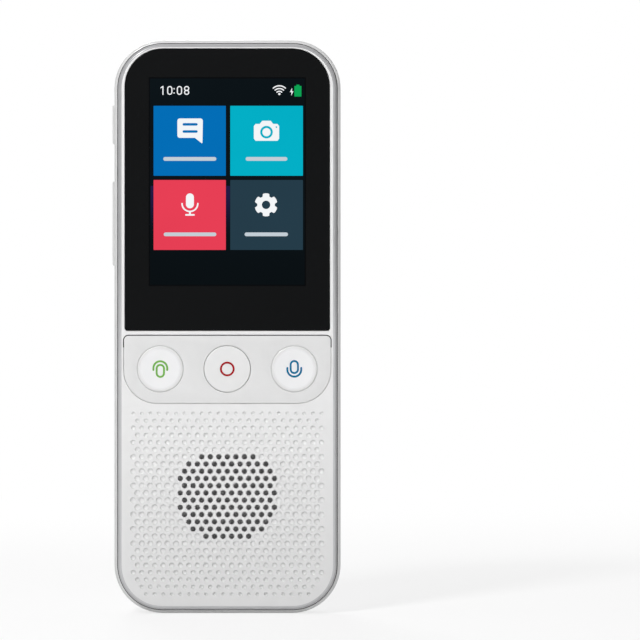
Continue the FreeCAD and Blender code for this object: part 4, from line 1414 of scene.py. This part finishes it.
@dataclass
class ScreenGlass:
    """The black touch glass with the lit picture: four tiles, icons and a status row.

    Attributes:
        radii: The glass's upper and lower corner radius.
        edge: Rounding of its edge.
        active_width: Width of the lit screen.
        active_height: Height of the lit screen.
        active_middle: Height of its middle.
        layer: Thickness of one layer of the picture.
        border: Width of the dark border around the lit screen, a painted shadow along its edge.
        screen_radius: Radius of the lit screen's corners.
        columns: Left and right end of each column of tiles.
        rows: Lower and upper end of each row of tiles.
        tile_radius: Radius of the tiles' corners.
        glow_columns: Left and right end of each purple glow between the tiles.
        glow_rows: Its lower and upper end.
        labels: Width, middle x and middle z of the bar on each tile.
        label_height: Height of those bars.
        battery: Half width, lower end, upper end and corner radius of the battery sign.
        battery_nub: The same of its nub.
        battery_x: Their middle x.
    """

    radii: Point = GLASS_RADII
    edge: float = 0.15
    active_width: float = 36.72
    active_height: float = 48.96
    active_middle: float = 102.5
    layer: float = 0.012
    border: float = 0.3
    screen_radius: float = 0.1
    columns: Tuple[Point, Point] = ((-17.5, -0.35), (0.7, 17.95))
    rows: Tuple[Point, Point] = ((103.9, 120.5), (86.3, 102.9))
    tile_radius: float = 0.12
    glow_columns: Tuple[Point, Point] = ((-18.2, -17.5), (-0.3, 0.65))
    glow_rows: Point = (90.0, 101.5)
    labels: Tuple[Tuple[float, float, float], ...] = ((12.6, -8.9, 107.9), (9.9, 9.3, 107.9),
                                                      (12.5, -8.85, 90.0), (10.3, 9.25, 90.0))
    label_height: float = 0.9
    battery: Tuple[float, float, float, float] = (0.84, 122.7, 125.22, 0.08)
    battery_nub: Tuple[float, float, float, float] = (0.36, 125.22, 125.52, 0.05)
    battery_x: float = 16.75

    def build(self) -> List[bpy.types.Object]:
        """Builds the glass and the picture and hides the plain glass.

        Returns:
            The glass and the picture.
        """
        low, high = node_box("touch_glass")
        maker = MeshMaker()
        rings = maker.rounded_edge(lambda inset: around_node("touch_glass", *self.radii, -inset),
                                   low.y, self.edge, 4)
        rings.append(maker.loop(around_node("touch_glass", *self.radii), high.y))
        maker.skin(rings)
        maker.cap(rings[0])
        maker.cap(rings[-1])
        glass = maker.build("touch_glass_pane", [BLACK_GLASS], HOUSING, "black_glass")
        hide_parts("touch_glass")
        return [glass, self._picture(low.y)]

    def _picture(self, front: float) -> bpy.types.Object:
        """Builds the lit picture as thin layers on the glass.

        Args:
            front: The glass's front plane.

        Returns:
            The picture's object.
        """
        tiles = [TILE_BLUE, TILE_TEAL, TILE_RED, TILE_SLATE]
        finishes = [SCREEN_NIGHT, SCREEN_EDGE_SHADOW, *tiles, PURPLE_GLOW, ICON_WHITE, LABEL_WHITE, CHARGE_GREEN]
        maker = MeshMaker()

        def add(level: int, finish: Finish, outline: Sequence[Point],
                holes: Sequence[Sequence[Point]] = ()) -> None:
            """Adds one flat shape of the picture."""
            maker.finish_now = finishes.index(finish)
            maker.shape(outline, front - self.layer * level, front, holes)

        half = self.active_width / 2
        low = self.active_middle - self.active_height / 2
        high = low + self.active_height
        # The dark border under the screen is painted shadow along its edge.
        for level, finish, grown in ((1, SCREEN_EDGE_SHADOW, self.border), (2, SCREEN_NIGHT, 0.0)):
            add(level, finish, small_plate(half + grown, low - grown, high + grown, self.screen_radius))
        for x0, x1 in self.glow_columns:
            add(3, PURPLE_GLOW,
                small_plate((x1 - x0) / 2, *self.glow_rows, self.screen_radius, (x0 + x1) / 2))
        for number, finish in enumerate(tiles):
            x0, x1 = self.columns[number % 2]
            add(3, finish,
                small_plate((x1 - x0) / 2, *self.rows[number // 2], self.tile_radius, (x0 + x1) / 2))
        for outline, holes in [*self._bubble(), *self._camera(), *self._microphone(), *self._gear(),
                               *self._clock(), *self._signs()]:
            add(4, ICON_WHITE, outline, holes)
        for width, x, z in self.labels:
            add(4, LABEL_WHITE, stadium(width, self.label_height, x, z, 8))
        add(4, CHARGE_GREEN, small_plate(*self.battery, self.battery_x, 3))
        add(4, CHARGE_GREEN, small_plate(*self.battery_nub, self.battery_x))
        return maker.build("lit_picture", finishes, HOUSING, "lcd_panel")

    @staticmethod
    def _bubble() -> List[Figure]:
        """Gives a speech bubble with two bars inside.

        Returns:
            The shapes, each with its holes.
        """
        left, right, low, high = -11.85, -5.8, 112.9, 117.5
        body = [(left + 0.5, low), (right - 1.9, low), (right - 0.25, low - 1.3), (right - 0.1, low - 1.2),
                (right, high - 0.5), (right - 0.15, high - 0.15), (right - 0.5, high),
                (left + 0.5, high), (left + 0.15, high - 0.15), (left, high - 0.5),
                (left, low + 0.5), (left + 0.15, low + 0.15)]
        middle = (left + right) / 2
        return [(body, [stadium(3.6, 0.6, middle, 116.1, 6), stadium(3.6, 0.6, middle, 114.4, 6)])]

    @staticmethod
    def _camera() -> List[Figure]:
        """Gives a camera with a round lens.

        Returns:
            The shapes, each with its holes.
        """
        x, low, high = 9.3, 112.2, 116.2
        body = [(x - 3, low + 0.5), (x - 2.6, low), (x + 2.6, low), (x + 3, low + 0.5),
                (x + 3, high - 0.5), (x + 2.6, high), (x + 1.6, high), (x + 1.0, high + 0.75),
                (x - 1.0, high + 0.75), (x - 1.6, high), (x - 2.6, high), (x - 3, high - 0.5)]
        return [(body, [circle(1.5, x, low + 2.05, 28), circle(0.2, x + 2.35, high - 0.75, 10)]),
                (circle(0.98, x, low + 2.05, 24), [])]

    @staticmethod
    def _microphone() -> List[Figure]:
        """Gives a microphone on its stand.

        Returns:
            The shapes, each with its holes.
        """
        x = -8.87
        return [(stadium(1.9, 3.55, x, 97.95, 12), []),
                (stroke(arc(1.87, 180, 360, x, 97.3), 0.36), []),
                (stroke([(x, 95.4), (x, 94.7)], 0.45), []),
                (stadium(2.3, 0.4, x, 94.62, 6), [])]

    @staticmethod
    def _gear() -> List[Figure]:
        """Gives a wheel with six blunt teeth and a round hole.

        Returns:
            The shapes, each with its holes.
        """
        x, z, teeth = 9.2, 97.0, 6
        points = []
        for tooth in range(teeth):
            middle = TURN * (tooth + 0.25) / teeth + TURN / 24
            for turn, radius in ((-0.38, 2.1), (-0.27, 2.7), (-0.1, 2.74), (0.1, 2.74), (0.27, 2.7),
                                 (0.38, 2.1)):
                angle = middle + turn * TURN / teeth
                points.append((x + radius * math.cos(angle), z + radius * math.sin(angle)))
        return [(points, [circle(1.0, x, z, 24)])]

    @staticmethod
    def _signs() -> List[Figure]:
        """Gives the wireless sign's three arcs and dot, and the small charging bolt.

        Returns:
            The shapes, each with its holes.
        """
        x, z = 12.35, 123.1
        signs = [stroke(arc(radius, 48, 132, x, z, 12), 0.28, 5) for radius in (0.85, 1.5, 2.15)]
        signs.append(circle(0.28, x, z + 0.2, 12))
        signs.append(shifted([(0.12, 0.95), (-0.42, -0.1), (-0.05, -0.1), (-0.12, -0.95), (0.42, 0.12),
                              (0.05, 0.12)], 15.28, 123.85))
        return [(sign, []) for sign in signs]

    @staticmethod
    def _clock() -> List[Figure]:
        """Gives the clock's plain digits, each with its open middles.

        Returns:
            The shapes, each with its holes.
        """
        pen, tall, wide, left, base = 0.25, 2.1, 1.25, -15.95, 123.1

        def loop(x: float, low: float, high: float) -> Figure:
            """Gives an upright ring of a digit.

            Args:
                x: Its middle x.
                low: Its lower end above the line.
                high: Its upper end.

            Returns:
                The ring with its hole.
            """
            outer, inner = (stadium(wide - drawn, high - low - drawn, x, base + (low + high) / 2, 8)
                            for drawn in (0, 2 * pen))
            return outer, [inner]

        one = [(0.05, 0), (0.3, 0), (0.3, tall), (0.05, tall), (-0.4, tall - 0.35), (-0.4, tall - 0.6),
               (0.05, tall - 0.3)]

        dots = [(circle(0.16, left + 3.32, base + up, 10), []) for up in (0.45, 1.45)]
        eight = left + 6.3
        return [(shifted(one, left + 0.5, base), []), loop(left + 2.3, 0, tall), *dots,
                loop(left + 4.6, 0, tall), loop(eight, 0, tall * 0.56), loop(eight, tall * 0.56 - pen, tall)]


@dataclass
class RearCover:
    """The pearl-white back with its pillowed edges and the island of the camera window.

    Attributes:
        corner_radius: Radius of the outline's corners at the seam.
        flat_corner_radius: Radius of the corners where the flat middle begins.
        side: How far the pillow reaches in from the long sides.
        bottom: How far it reaches up from the bottom end.
        top: How far it reaches down from the top end.
        wall: The cover's thickness.
        rings: Steps of the pillow.
        island_margin: Width of the island around the window.
        island_blend: Width of the soft slope around the island.
        island_rise: How far the island stands above the flat middle.
        island_sink: How far its slope runs on under the flat middle.
        island_root: How far its skirt reaches below the flat middle.
        island_steps: Steps of the slope.
        window_gap: Gap around the window.
        window_chamfer: Chamfer of the island's edge at the window.
        seat_width: How much narrower than the window the hole behind it is.
        hole_taper: How much narrower the hole gets towards the inside.
        lip_depth: How far the lip reaches into the middle frame.
        lip_inset: How far the lip stands inside the outline.
        lip_wall: The lip's thickness.
        corner_steps: Steps in each corner.
    """

    corner_radius: float = 11.25
    flat_corner_radius: float = 7.0
    side: float = 10.85
    bottom: float = 8.0
    top: float = 4.5
    wall: float = 1.4
    rings: int = 28
    island_margin: float = 0.75
    island_blend: float = 0.8
    island_rise: float = 0.2
    island_sink: float = 0.14
    island_root: float = 0.5
    island_steps: int = 8
    window_gap: float = 0.1
    window_chamfer: float = 0.1
    seat_width: float = 0.4
    hole_taper: float = 4.4
    lip_depth: float = 1.0
    lip_inset: float = 1.65
    lip_wall: float = 1.0
    corner_steps: int = 28

    def build(self) -> List[bpy.types.Object]:
        """Builds the back and the island and hides the plain cover.

        Returns:
            The cover and the island.
        """
        low, high = node_box("rear_cover")
        window_low, window_high = node_box("camera_window")
        start = low.y + self.lip_depth
        flat = high.y - self.island_rise
        maker = MeshMaker()
        outer = self._pillow(maker, 0.0, start, flat)
        inner = self._pillow(maker, self.wall, start, flat - self.wall)
        width, height = 2 * window_high.x, window_high.z - window_low.z
        middle = node_middle("camera_window")[1]
        outer_hole, inner_hole = (maker.loop(stadium(width - drawn, height - drawn, 0, middle), y)
                                  for drawn, y in ((self.seat_width, flat),
                                                   (self.seat_width + self.hole_taper, flat - self.wall)))
        maker.skin(outer)
        maker.skin(inner)
        maker.bridge(outer_hole, inner_hole)
        maker.cap(outer[-1], [outer_hole])
        maker.cap(inner[-1], [inner_hole])
        self._lip(maker, outer[0], inner[0], low.y, start)
        shell = maker.build("rear_cover_shell", [REAR_PEARL], HOUSING, "rear_shell")
        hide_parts("rear_cover")
        return [shell, self._island(width, height, middle, window_low.y, flat)]

    def _pillow(self, maker: MeshMaker, wall: float, start: float, flat: float) -> List[Ring]:
        """Adds the rings of the soft back.

        Args:
            maker: Collects the faces.
            wall: How far inside the outer face it lies.
            start: The seam's plane.
            flat: The flat middle's plane.

        Returns:
            The rings from the seam to the flat middle.
        """
        low, high = node_box("rear_cover")
        rings = []
        for step in range(self.rings + 1):
            angle = TURN / 4 * step / self.rings
            drawn = 1 - math.cos(angle)
            radius = self.corner_radius - wall
            radius += (self.flat_corner_radius - radius) * drawn
            outline = rounded_outline(high.x - wall - self.side * drawn, low.z + wall + self.bottom * drawn,
                                      high.z - wall - self.top * drawn, radius, radius, self.corner_steps)
            rings.append(maker.loop(outline, start + (flat - start) * math.sin(angle)))
        return rings

    def _lip(self, maker: MeshMaker, outer: Ring, inner: Ring, seam: float, start: float) -> None:
        """Adds the lip that plugs into the middle frame.

        Args:
            maker: Collects the faces.
            outer: The outer seam's ring.
            inner: The inner seam's ring.
            seam: The plane where the lip ends.
            start: The seam's plane.
        """
        back_inset, radius = self.lip_inset + self.lip_wall, self.corner_radius
        rings = [outer]
        for inset, y in ((self.lip_inset, start), (self.lip_inset, seam), (back_inset, seam),
                         (back_inset, start)):
            rings.append(maker.loop(around_node("rear_cover", radius, radius, -inset, self.corner_steps), y))
        maker.skin(rings)
        maker.bridge(rings[-1], inner)

    def _island(self, width: float, height: float, z: float, seat: float, flat: float) -> bpy.types.Object:
        """Builds the low island that holds the camera window.

        Args:
            width: The window's width.
            height: The window's height.
            z: The window's middle height.
            seat: The plane the window rests on.
            flat: The back's flat plane.

        Returns:
            The island's object.
        """
        maker = MeshMaker()
        top = flat + self.island_rise
        gap, chamfer, reach = self.window_gap, self.window_chamfer, self.island_margin
        profile = [(gap, seat), (gap, top - chamfer), (gap + chamfer, top), (reach, top)]
        for step in range(1, self.island_steps + 1):
            share = step / self.island_steps
            soft = share * share * (3 - 2 * share)
            profile.append((reach + self.island_blend * share,
                            top - (self.island_rise + self.island_sink) * soft))
        profile.append((reach + self.island_blend, flat - self.island_root))
        profile.append((reach, seat))
        rings = [maker.loop(stadium(width + 2 * grown, height + 2 * grown, 0, z, 32), y)
                 for grown, y in profile]
        maker.skin(rings)
        maker.bridge(rings[-1], rings[0])
        return maker.build("camera_island", [REAR_PEARL], HOUSING, "rear_shell")


@dataclass
class CameraWindow:
    """The black window on the back with the lens and the flash behind it.

    Attributes:
        edge: Rounding of the window's edge.
        lens_radius: Radius of the lens's clear spot.
        flash_radius: Radius of the flash's clear spot.
        lens_steps: Radius and depth behind the window's face along the lens ring's profile.
        dome_rings: Radii of the rings that make up the lens's dome.
        dome_rise: Height of the dome.
        flash_steps: Radius and depth along the flash's profile.
    """

    edge: float = 0.2
    lens_radius: float = 2.55
    flash_radius: float = 1.15
    lens_steps: Tuple[Point, ...] = ((2.5, 0.7), (2.5, 0.03), (2.38, 0.02), (2.2, 0.12), (1.9, 0.14),
                                     (1.35, 0.3), (1.3, 0.42), (0.8, 0.46), (0.75, 0.42))
    dome_rings: Tuple[float, ...] = (0.6, 0.4, 0.2)
    dome_rise: float = 0.12
    flash_steps: Tuple[Point, ...] = ((1.1, 0.7), (1.1, 0.1), (1.0, 0.05), (0.85, 0.1), (0.7, 0.05),
                                      (0.55, 0.1), (0.4, 0.05), (0.2, 0.08))

    def build(self) -> List[bpy.types.Object]:
        """Builds the window, lens and flash and hides the plain ones.

        Returns:
            The window, the lens and the flash.
        """
        low, high = node_box("camera_window")
        z = node_middle("camera_window")[1]
        lens_x, flash_x = node_middle("camera_barrel")[0], node_middle("flash_light_pipe")[0]
        width, height = high.x - low.x, high.z - low.z
        maker = MeshMaker()
        rings = maker.rounded_edge(lambda inset: stadium(width - 2 * inset, height - 2 * inset, 0, z, 32),
                                   high.y, -self.edge, 4)
        rings.append(maker.loop(stadium(width, height, 0, z, 32), low.y))
        maker.skin(rings)
        wells = [[maker.loop(circle(radius, x, z), y) for y in (high.y, low.y)]
                 for x, radius in ((lens_x, self.lens_radius), (flash_x, self.flash_radius))]
        for mouth, foot in wells:
            maker.bridge(mouth, foot)
        maker.cap(rings[0], [mouth for mouth, _ in wells])
        maker.cap(rings[-1], [foot for _, foot in wells])
        window = maker.build("camera_window_pane", [BLACK_GLASS], HOUSING, "window_glass")
        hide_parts("camera_window")
        return [window, self._lens(lens_x, z, high.y), self._flash(flash_x, z, high.y)]

    def _lens(self, x: float, z: float, face: float) -> bpy.types.Object:
        """Builds the stepped lens ring and the glass in it.

        Args:
            x: The lens's middle x.
            z: Its middle z.
            face: The window's face.

        Returns:
            The lens's object.
        """
        maker = MeshMaker()
        rings = [maker.loop(circle(r, x, z), face - depth) for r, depth in self.lens_steps]
        maker.skin(rings)
        reach, foot = self.lens_steps[-1]
        dome = [maker.loop(circle(r, x, z), face - foot + self.dome_rise * (1 - (r / reach) ** 2))
                for r in self.dome_rings]
        maker.finish_now = 1
        maker.skin([rings[-1], *dome])
        maker.cap(dome[-1])
        maker.finish_now = 0
        maker.cap(rings[0])
        piece = maker.build("camera_lens_stack", [LENS_RING, LENS_GLASS], HOUSING, "lens_glass", 60.0)
        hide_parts("camera_barrel", "camera_lens")
        return piece

    def _flash(self, x: float, z: float, face: float) -> bpy.types.Object:
        """Builds the flash's lens with its fine rings.

        Args:
            x: The flash's middle x.
            z: Its middle z.
            face: The window's face.

        Returns:
            The flash's object.
        """
        maker = MeshMaker()
        rings = [maker.loop(circle(r, x, z, 32), face - depth) for r, depth in self.flash_steps]
        maker.skin(rings)
        maker.cap(rings[-1])
        maker.cap(rings[0])
        return maker.build("flash_lens", [FLASH_DIFFUSER], HOUSING, "clear_plastic", 20.0)


@dataclass
class CarriedPiece:
    """A CAD node whose shape is right, made smooth for the eye.

    Attributes:
        node: The node's name.
        body: The body it rides on.
        slot: The record's material slot; not used.
        finish: Its finish.
        sharp: Edges that turn by more degrees stay sharp.
    """

    node: str
    body: str
    slot: str
    finish: Finish
    sharp: float = 25.0

    def build(self) -> bpy.types.Object:
        """Copies the node's mesh, closes its seams and hides the plain node.

        Returns:
            The finished piece.
        """
        mesh = frame["nodes"][self.node].data.copy()
        mesh.materials.clear()
        mesh.materials.append(self.finish.material())
        piece = settle(add_object(self.node + "_finished", mesh), self.body, self.sharp)
        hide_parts(self.node)
        return piece


def dress_inner_nodes() -> None:
    """Gives every CAD node that still shows the finish of its material slot."""
    slots = {row["node"]: row["material_slot"] for row in frame["record"]["subparts"]}
    for name, node in frame["nodes"].items():
        node.data.materials.clear()
        node.data.materials.append(SLOT_FINISH[slots[name]].material())
    log.info("dressed %d inner nodes", len(slots))


@dataclass
class Studio:
    """Floor, background, lamps and the camera.

    Attributes:
        pixel: Millimetres that one pixel of the picture spans at the object.
        picture: The picture's width and height in pixels.
        left_middle: Pixel column of the object's middle.
        foot: Pixel row of the object's bottom end.
        lens: Focal length in millimetres.
        sensor: Width of the camera's sensor in millimetres.
        floor_gap: How far under the object the floor lies, in metres.
        sweep_front: Where the floor begins, in metres.
        sweep_back: Where it starts to curve up.
        sweep_radius: Radius of that curve.
        sweep_top: Where the backdrop ends.
        sweep_reach: Half its width.
        sweep_steps: Steps of the curve.
        paper: Grey level of the paper under the lamps.
        fade_reach: Distances between which the shadow fades out into white.
        fade_share: Share of plain white at those distances.
        ambient: Strength of the even light from all round.
        aim: What the lamps point at.
        lamps: Name, place, side in metres and power in watts of each lamp.
    """

    pixel: float = 0.2373
    picture: int = 640
    left_middle: float = 227.3
    foot: float = 613.6
    lens: float = 200.0
    sensor: float = 36.0
    floor_gap: float = 0.0001
    sweep_front: float = -1.5
    sweep_back: float = 0.6
    sweep_radius: float = 0.5
    sweep_top: float = 2.0
    sweep_reach: float = 2.5
    sweep_steps: int = 12
    paper: float = 0.92
    fade_reach: Point = (0.1, 0.55)
    fade_share: Point = (0.72, 1.0)
    ambient: float = 0.23
    aim: Place = (0.0, 0.0, 0.068)
    lamps: Tuple[Tuple[str, Place, float, float], ...] = (
        ("key_lamp", (-0.24, -0.46, 0.46), 0.12, 2.45), ("fill_lamp", (0.36, -0.60, 0.05), 0.3, 0.8),
        ("top_lamp", (0.0, 0.1, 0.8), 0.6, 1.0), ("back_lamp", (-0.16, 0.8, 0.45), 0.3, 3.4),
        ("back_side_lamp", (0.6, 0.5, 0.30), 0.5, 0.3))

    def build(self) -> None:
        """Builds everything around the object."""
        self._camera()
        self._floor()
        self._world()
        for lamp in self.lamps:
            self._lamp(*lamp)
        bpy.context.scene.view_settings.view_transform = "Standard"

    def _camera(self) -> None:
        """Sets the camera square on to the screen, as in the photograph."""
        data = bpy.data.cameras.new("camera")
        data.lens = self.lens
        data.sensor_width = self.sensor
        camera = bpy.data.objects.new("camera", data)
        bpy.context.scene.collection.objects.link(camera)
        middle = self.picture / 2
        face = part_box("front_cover")[0].y
        width = self.picture * self.pixel * MM
        distance = width * self.lens / self.sensor
        camera.location = ((middle - self.left_middle) * self.pixel * MM, face - distance,
                           (self.foot - middle) * self.pixel * MM)
        camera.rotation_euler = (math.radians(90), 0, 0)
        bpy.context.scene.camera = camera

    def _floor(self) -> None:
        """Builds the pale floor and the backdrop as one swept sheet."""
        back, radius, low = self.sweep_back, self.sweep_radius, -self.floor_gap
        profile = [(self.sweep_front, low), (back, low)]
        for step in range(1, self.sweep_steps + 1):
            angle = TURN / 4 * step / self.sweep_steps
            profile.append((back + radius * math.sin(angle), low + radius * (1 - math.cos(angle))))
        profile.append((back + radius, self.sweep_top))
        points, faces = [], []
        for y, z in profile:
            points += [(-self.sweep_reach, y, z), (self.sweep_reach, y, z)]
        for i in range(len(profile) - 1):
            faces.append((2 * i, 2 * i + 1, 2 * i + 3, 2 * i + 2))
        mesh = bpy.data.meshes.new("studio_sweep")
        mesh.from_pydata(points, [], faces)
        mesh.polygons.foreach_set("use_smooth", [True] * len(faces))
        mesh.materials.append(self._paper())
        add_object("studio_sweep", mesh)

    @staticmethod
    def _backdrop_rays(tree: bpy.types.NodeTree) -> bpy.types.NodeSocket:
        """Marks the rays that see the background: the camera's, mirrored and refracted ones.

        Args:
            tree: The node tree to add the nodes to.

        Returns:
            A socket that is 1 for those rays and 0 for the light's own.
        """
        path = tree.nodes.new("ShaderNodeLightPath")
        seen = path.outputs["Is Camera Ray"]
        for kind in ("Is Glossy Ray", "Is Transmission Ray"):
            either = tree.nodes.new("ShaderNodeMath")
            either.operation = "MAXIMUM"
            tree.links.new(seen, either.inputs[0])
            tree.links.new(path.outputs[kind], either.inputs[1])
            seen = either.outputs[0]
        return seen

    def _paper(self) -> bpy.types.Material:
        """Builds the white paper, which shows plain white but keeps a soft shadow.

        Returns:
            The material.
        """
        made = bpy.data.materials.new("studio_paper")
        made.use_nodes = True
        nodes, links = made.node_tree.nodes, made.node_tree.links
        nodes.clear()
        leave = nodes.new("ShaderNodeOutputMaterial")
        mix = nodes.new("ShaderNodeMixShader")
        paper = nodes.new("ShaderNodeBsdfDiffuse")
        paper.inputs["Color"].default_value = (self.paper, self.paper, self.paper, 1)
        white = nodes.new("ShaderNodeEmission")
        white.inputs["Strength"].default_value = 1.0
        seen = nodes.new("ShaderNodeMath")
        seen.operation = "MULTIPLY"
        place = nodes.new("ShaderNodeTexCoord")
        away = nodes.new("ShaderNodeVectorMath")
        away.operation = "LENGTH"
        fade = nodes.new("ShaderNodeMapRange")
        fade.interpolation_type = "SMOOTHSTEP"
        for name, value in zip(("From Min", "From Max", "To Min", "To Max"),
                               (*self.fade_reach, *self.fade_share)):
            fade.inputs[name].default_value = value
        links.new(place.outputs["Object"], away.inputs[0])
        links.new(away.outputs["Value"], fade.inputs["Value"])
        links.new(self._backdrop_rays(made.node_tree), seen.inputs[0])
        links.new(fade.outputs["Result"], seen.inputs[1])
        links.new(seen.outputs[0], mix.inputs["Fac"])
        links.new(paper.outputs[0], mix.inputs[1])
        links.new(white.outputs[0], mix.inputs[2])
        links.new(mix.outputs[0], leave.inputs["Surface"])
        return made

    def _world(self) -> None:
        """Sets an even grey light that the camera sees as white."""
        world = bpy.data.worlds.new("studio_world")
        bpy.context.scene.world = world
        world.use_nodes = True
        nodes, links = world.node_tree.nodes, world.node_tree.links
        back = nodes["Background"]
        span = nodes.new("ShaderNodeMapRange")
        span.inputs["To Min"].default_value = self.ambient
        span.inputs["To Max"].default_value = 1.0
        back.inputs["Color"].default_value = (1, 1, 1, 1)
        links.new(self._backdrop_rays(world.node_tree), span.inputs["Value"])
        links.new(span.outputs["Result"], back.inputs["Strength"])

    def _lamp(self, name: str, place: Place, size: float, power: float) -> None:
        """Adds a soft square lamp aimed at the object.

        Args:
            name: The lamp's name.
            place: Where it stands, in metres.
            size: Its side.
            power: Its power in watts.
        """
        data = bpy.data.lights.new(name, "AREA")
        data.size = size
        data.energy = power
        lamp = bpy.data.objects.new(name, data)
        lamp.location = place
        lamp.rotation_euler = (Vector(self.aim) - Vector(place)).to_track_quat("-Z", "Y").to_euler()
        bpy.context.scene.collection.objects.link(lamp)


def corners(box: Tuple[Vector, Vector]) -> List[List[float]]:
    """Gives a box's two corners as plain lists."""
    return [list(box[0]), list(box[1])]


def main() -> None:
    """Builds the object's pieces in order."""
    logging.basicConfig(level=logging.INFO, format="%(message)s")
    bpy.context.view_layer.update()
    dress_inner_nodes()
    FrontCover().build()
    KeyPanel().build()
    SeamShadowStrips().build()
    FrontKey("key_left", "left_key", KeyMark.MICROPHONE_DOWN, MARK_GREEN,
             (KEY_WHITE, KEY_RING_SHADE, KEY_RIM_SHADE), "key_white", 0.3, edge=0.4).build()
    FrontKey("key_centre", "centre_key", KeyMark.RING, MARK_RED,
             (KEY_GREY, KEY_GREY, KEY_GREY), "panel_plastic").build()
    FrontKey("key_right", "right_key", KeyMark.MICROPHONE_UP, MARK_BLUE,
             (KEY_WHITE, KEY_RING_SHADE, KEY_RIM_SHADE), "key_white", 0.3, edge=0.4).build()
    ScreenGlass().build()
    RearCover().build()
    CameraWindow().build()
    CarriedPiece("middle_frame", HOUSING, "frame_shell", FRAME_SILVER).build()
    CarriedPiece("power_key", "power_button", "frame_shell", FRAME_SILVER).build()
    CarriedPiece("volume_rocker", "volume_button", "frame_shell", FRAME_SILVER).build()
    CarriedPiece("usb_shell", HOUSING, "bare_steel", STEEL).build()
    CarriedPiece("usb_tongue", HOUSING, "chip_black", DARK_PLASTIC).build()
    Studio().build()


if __name__ == "__main__":
    main()
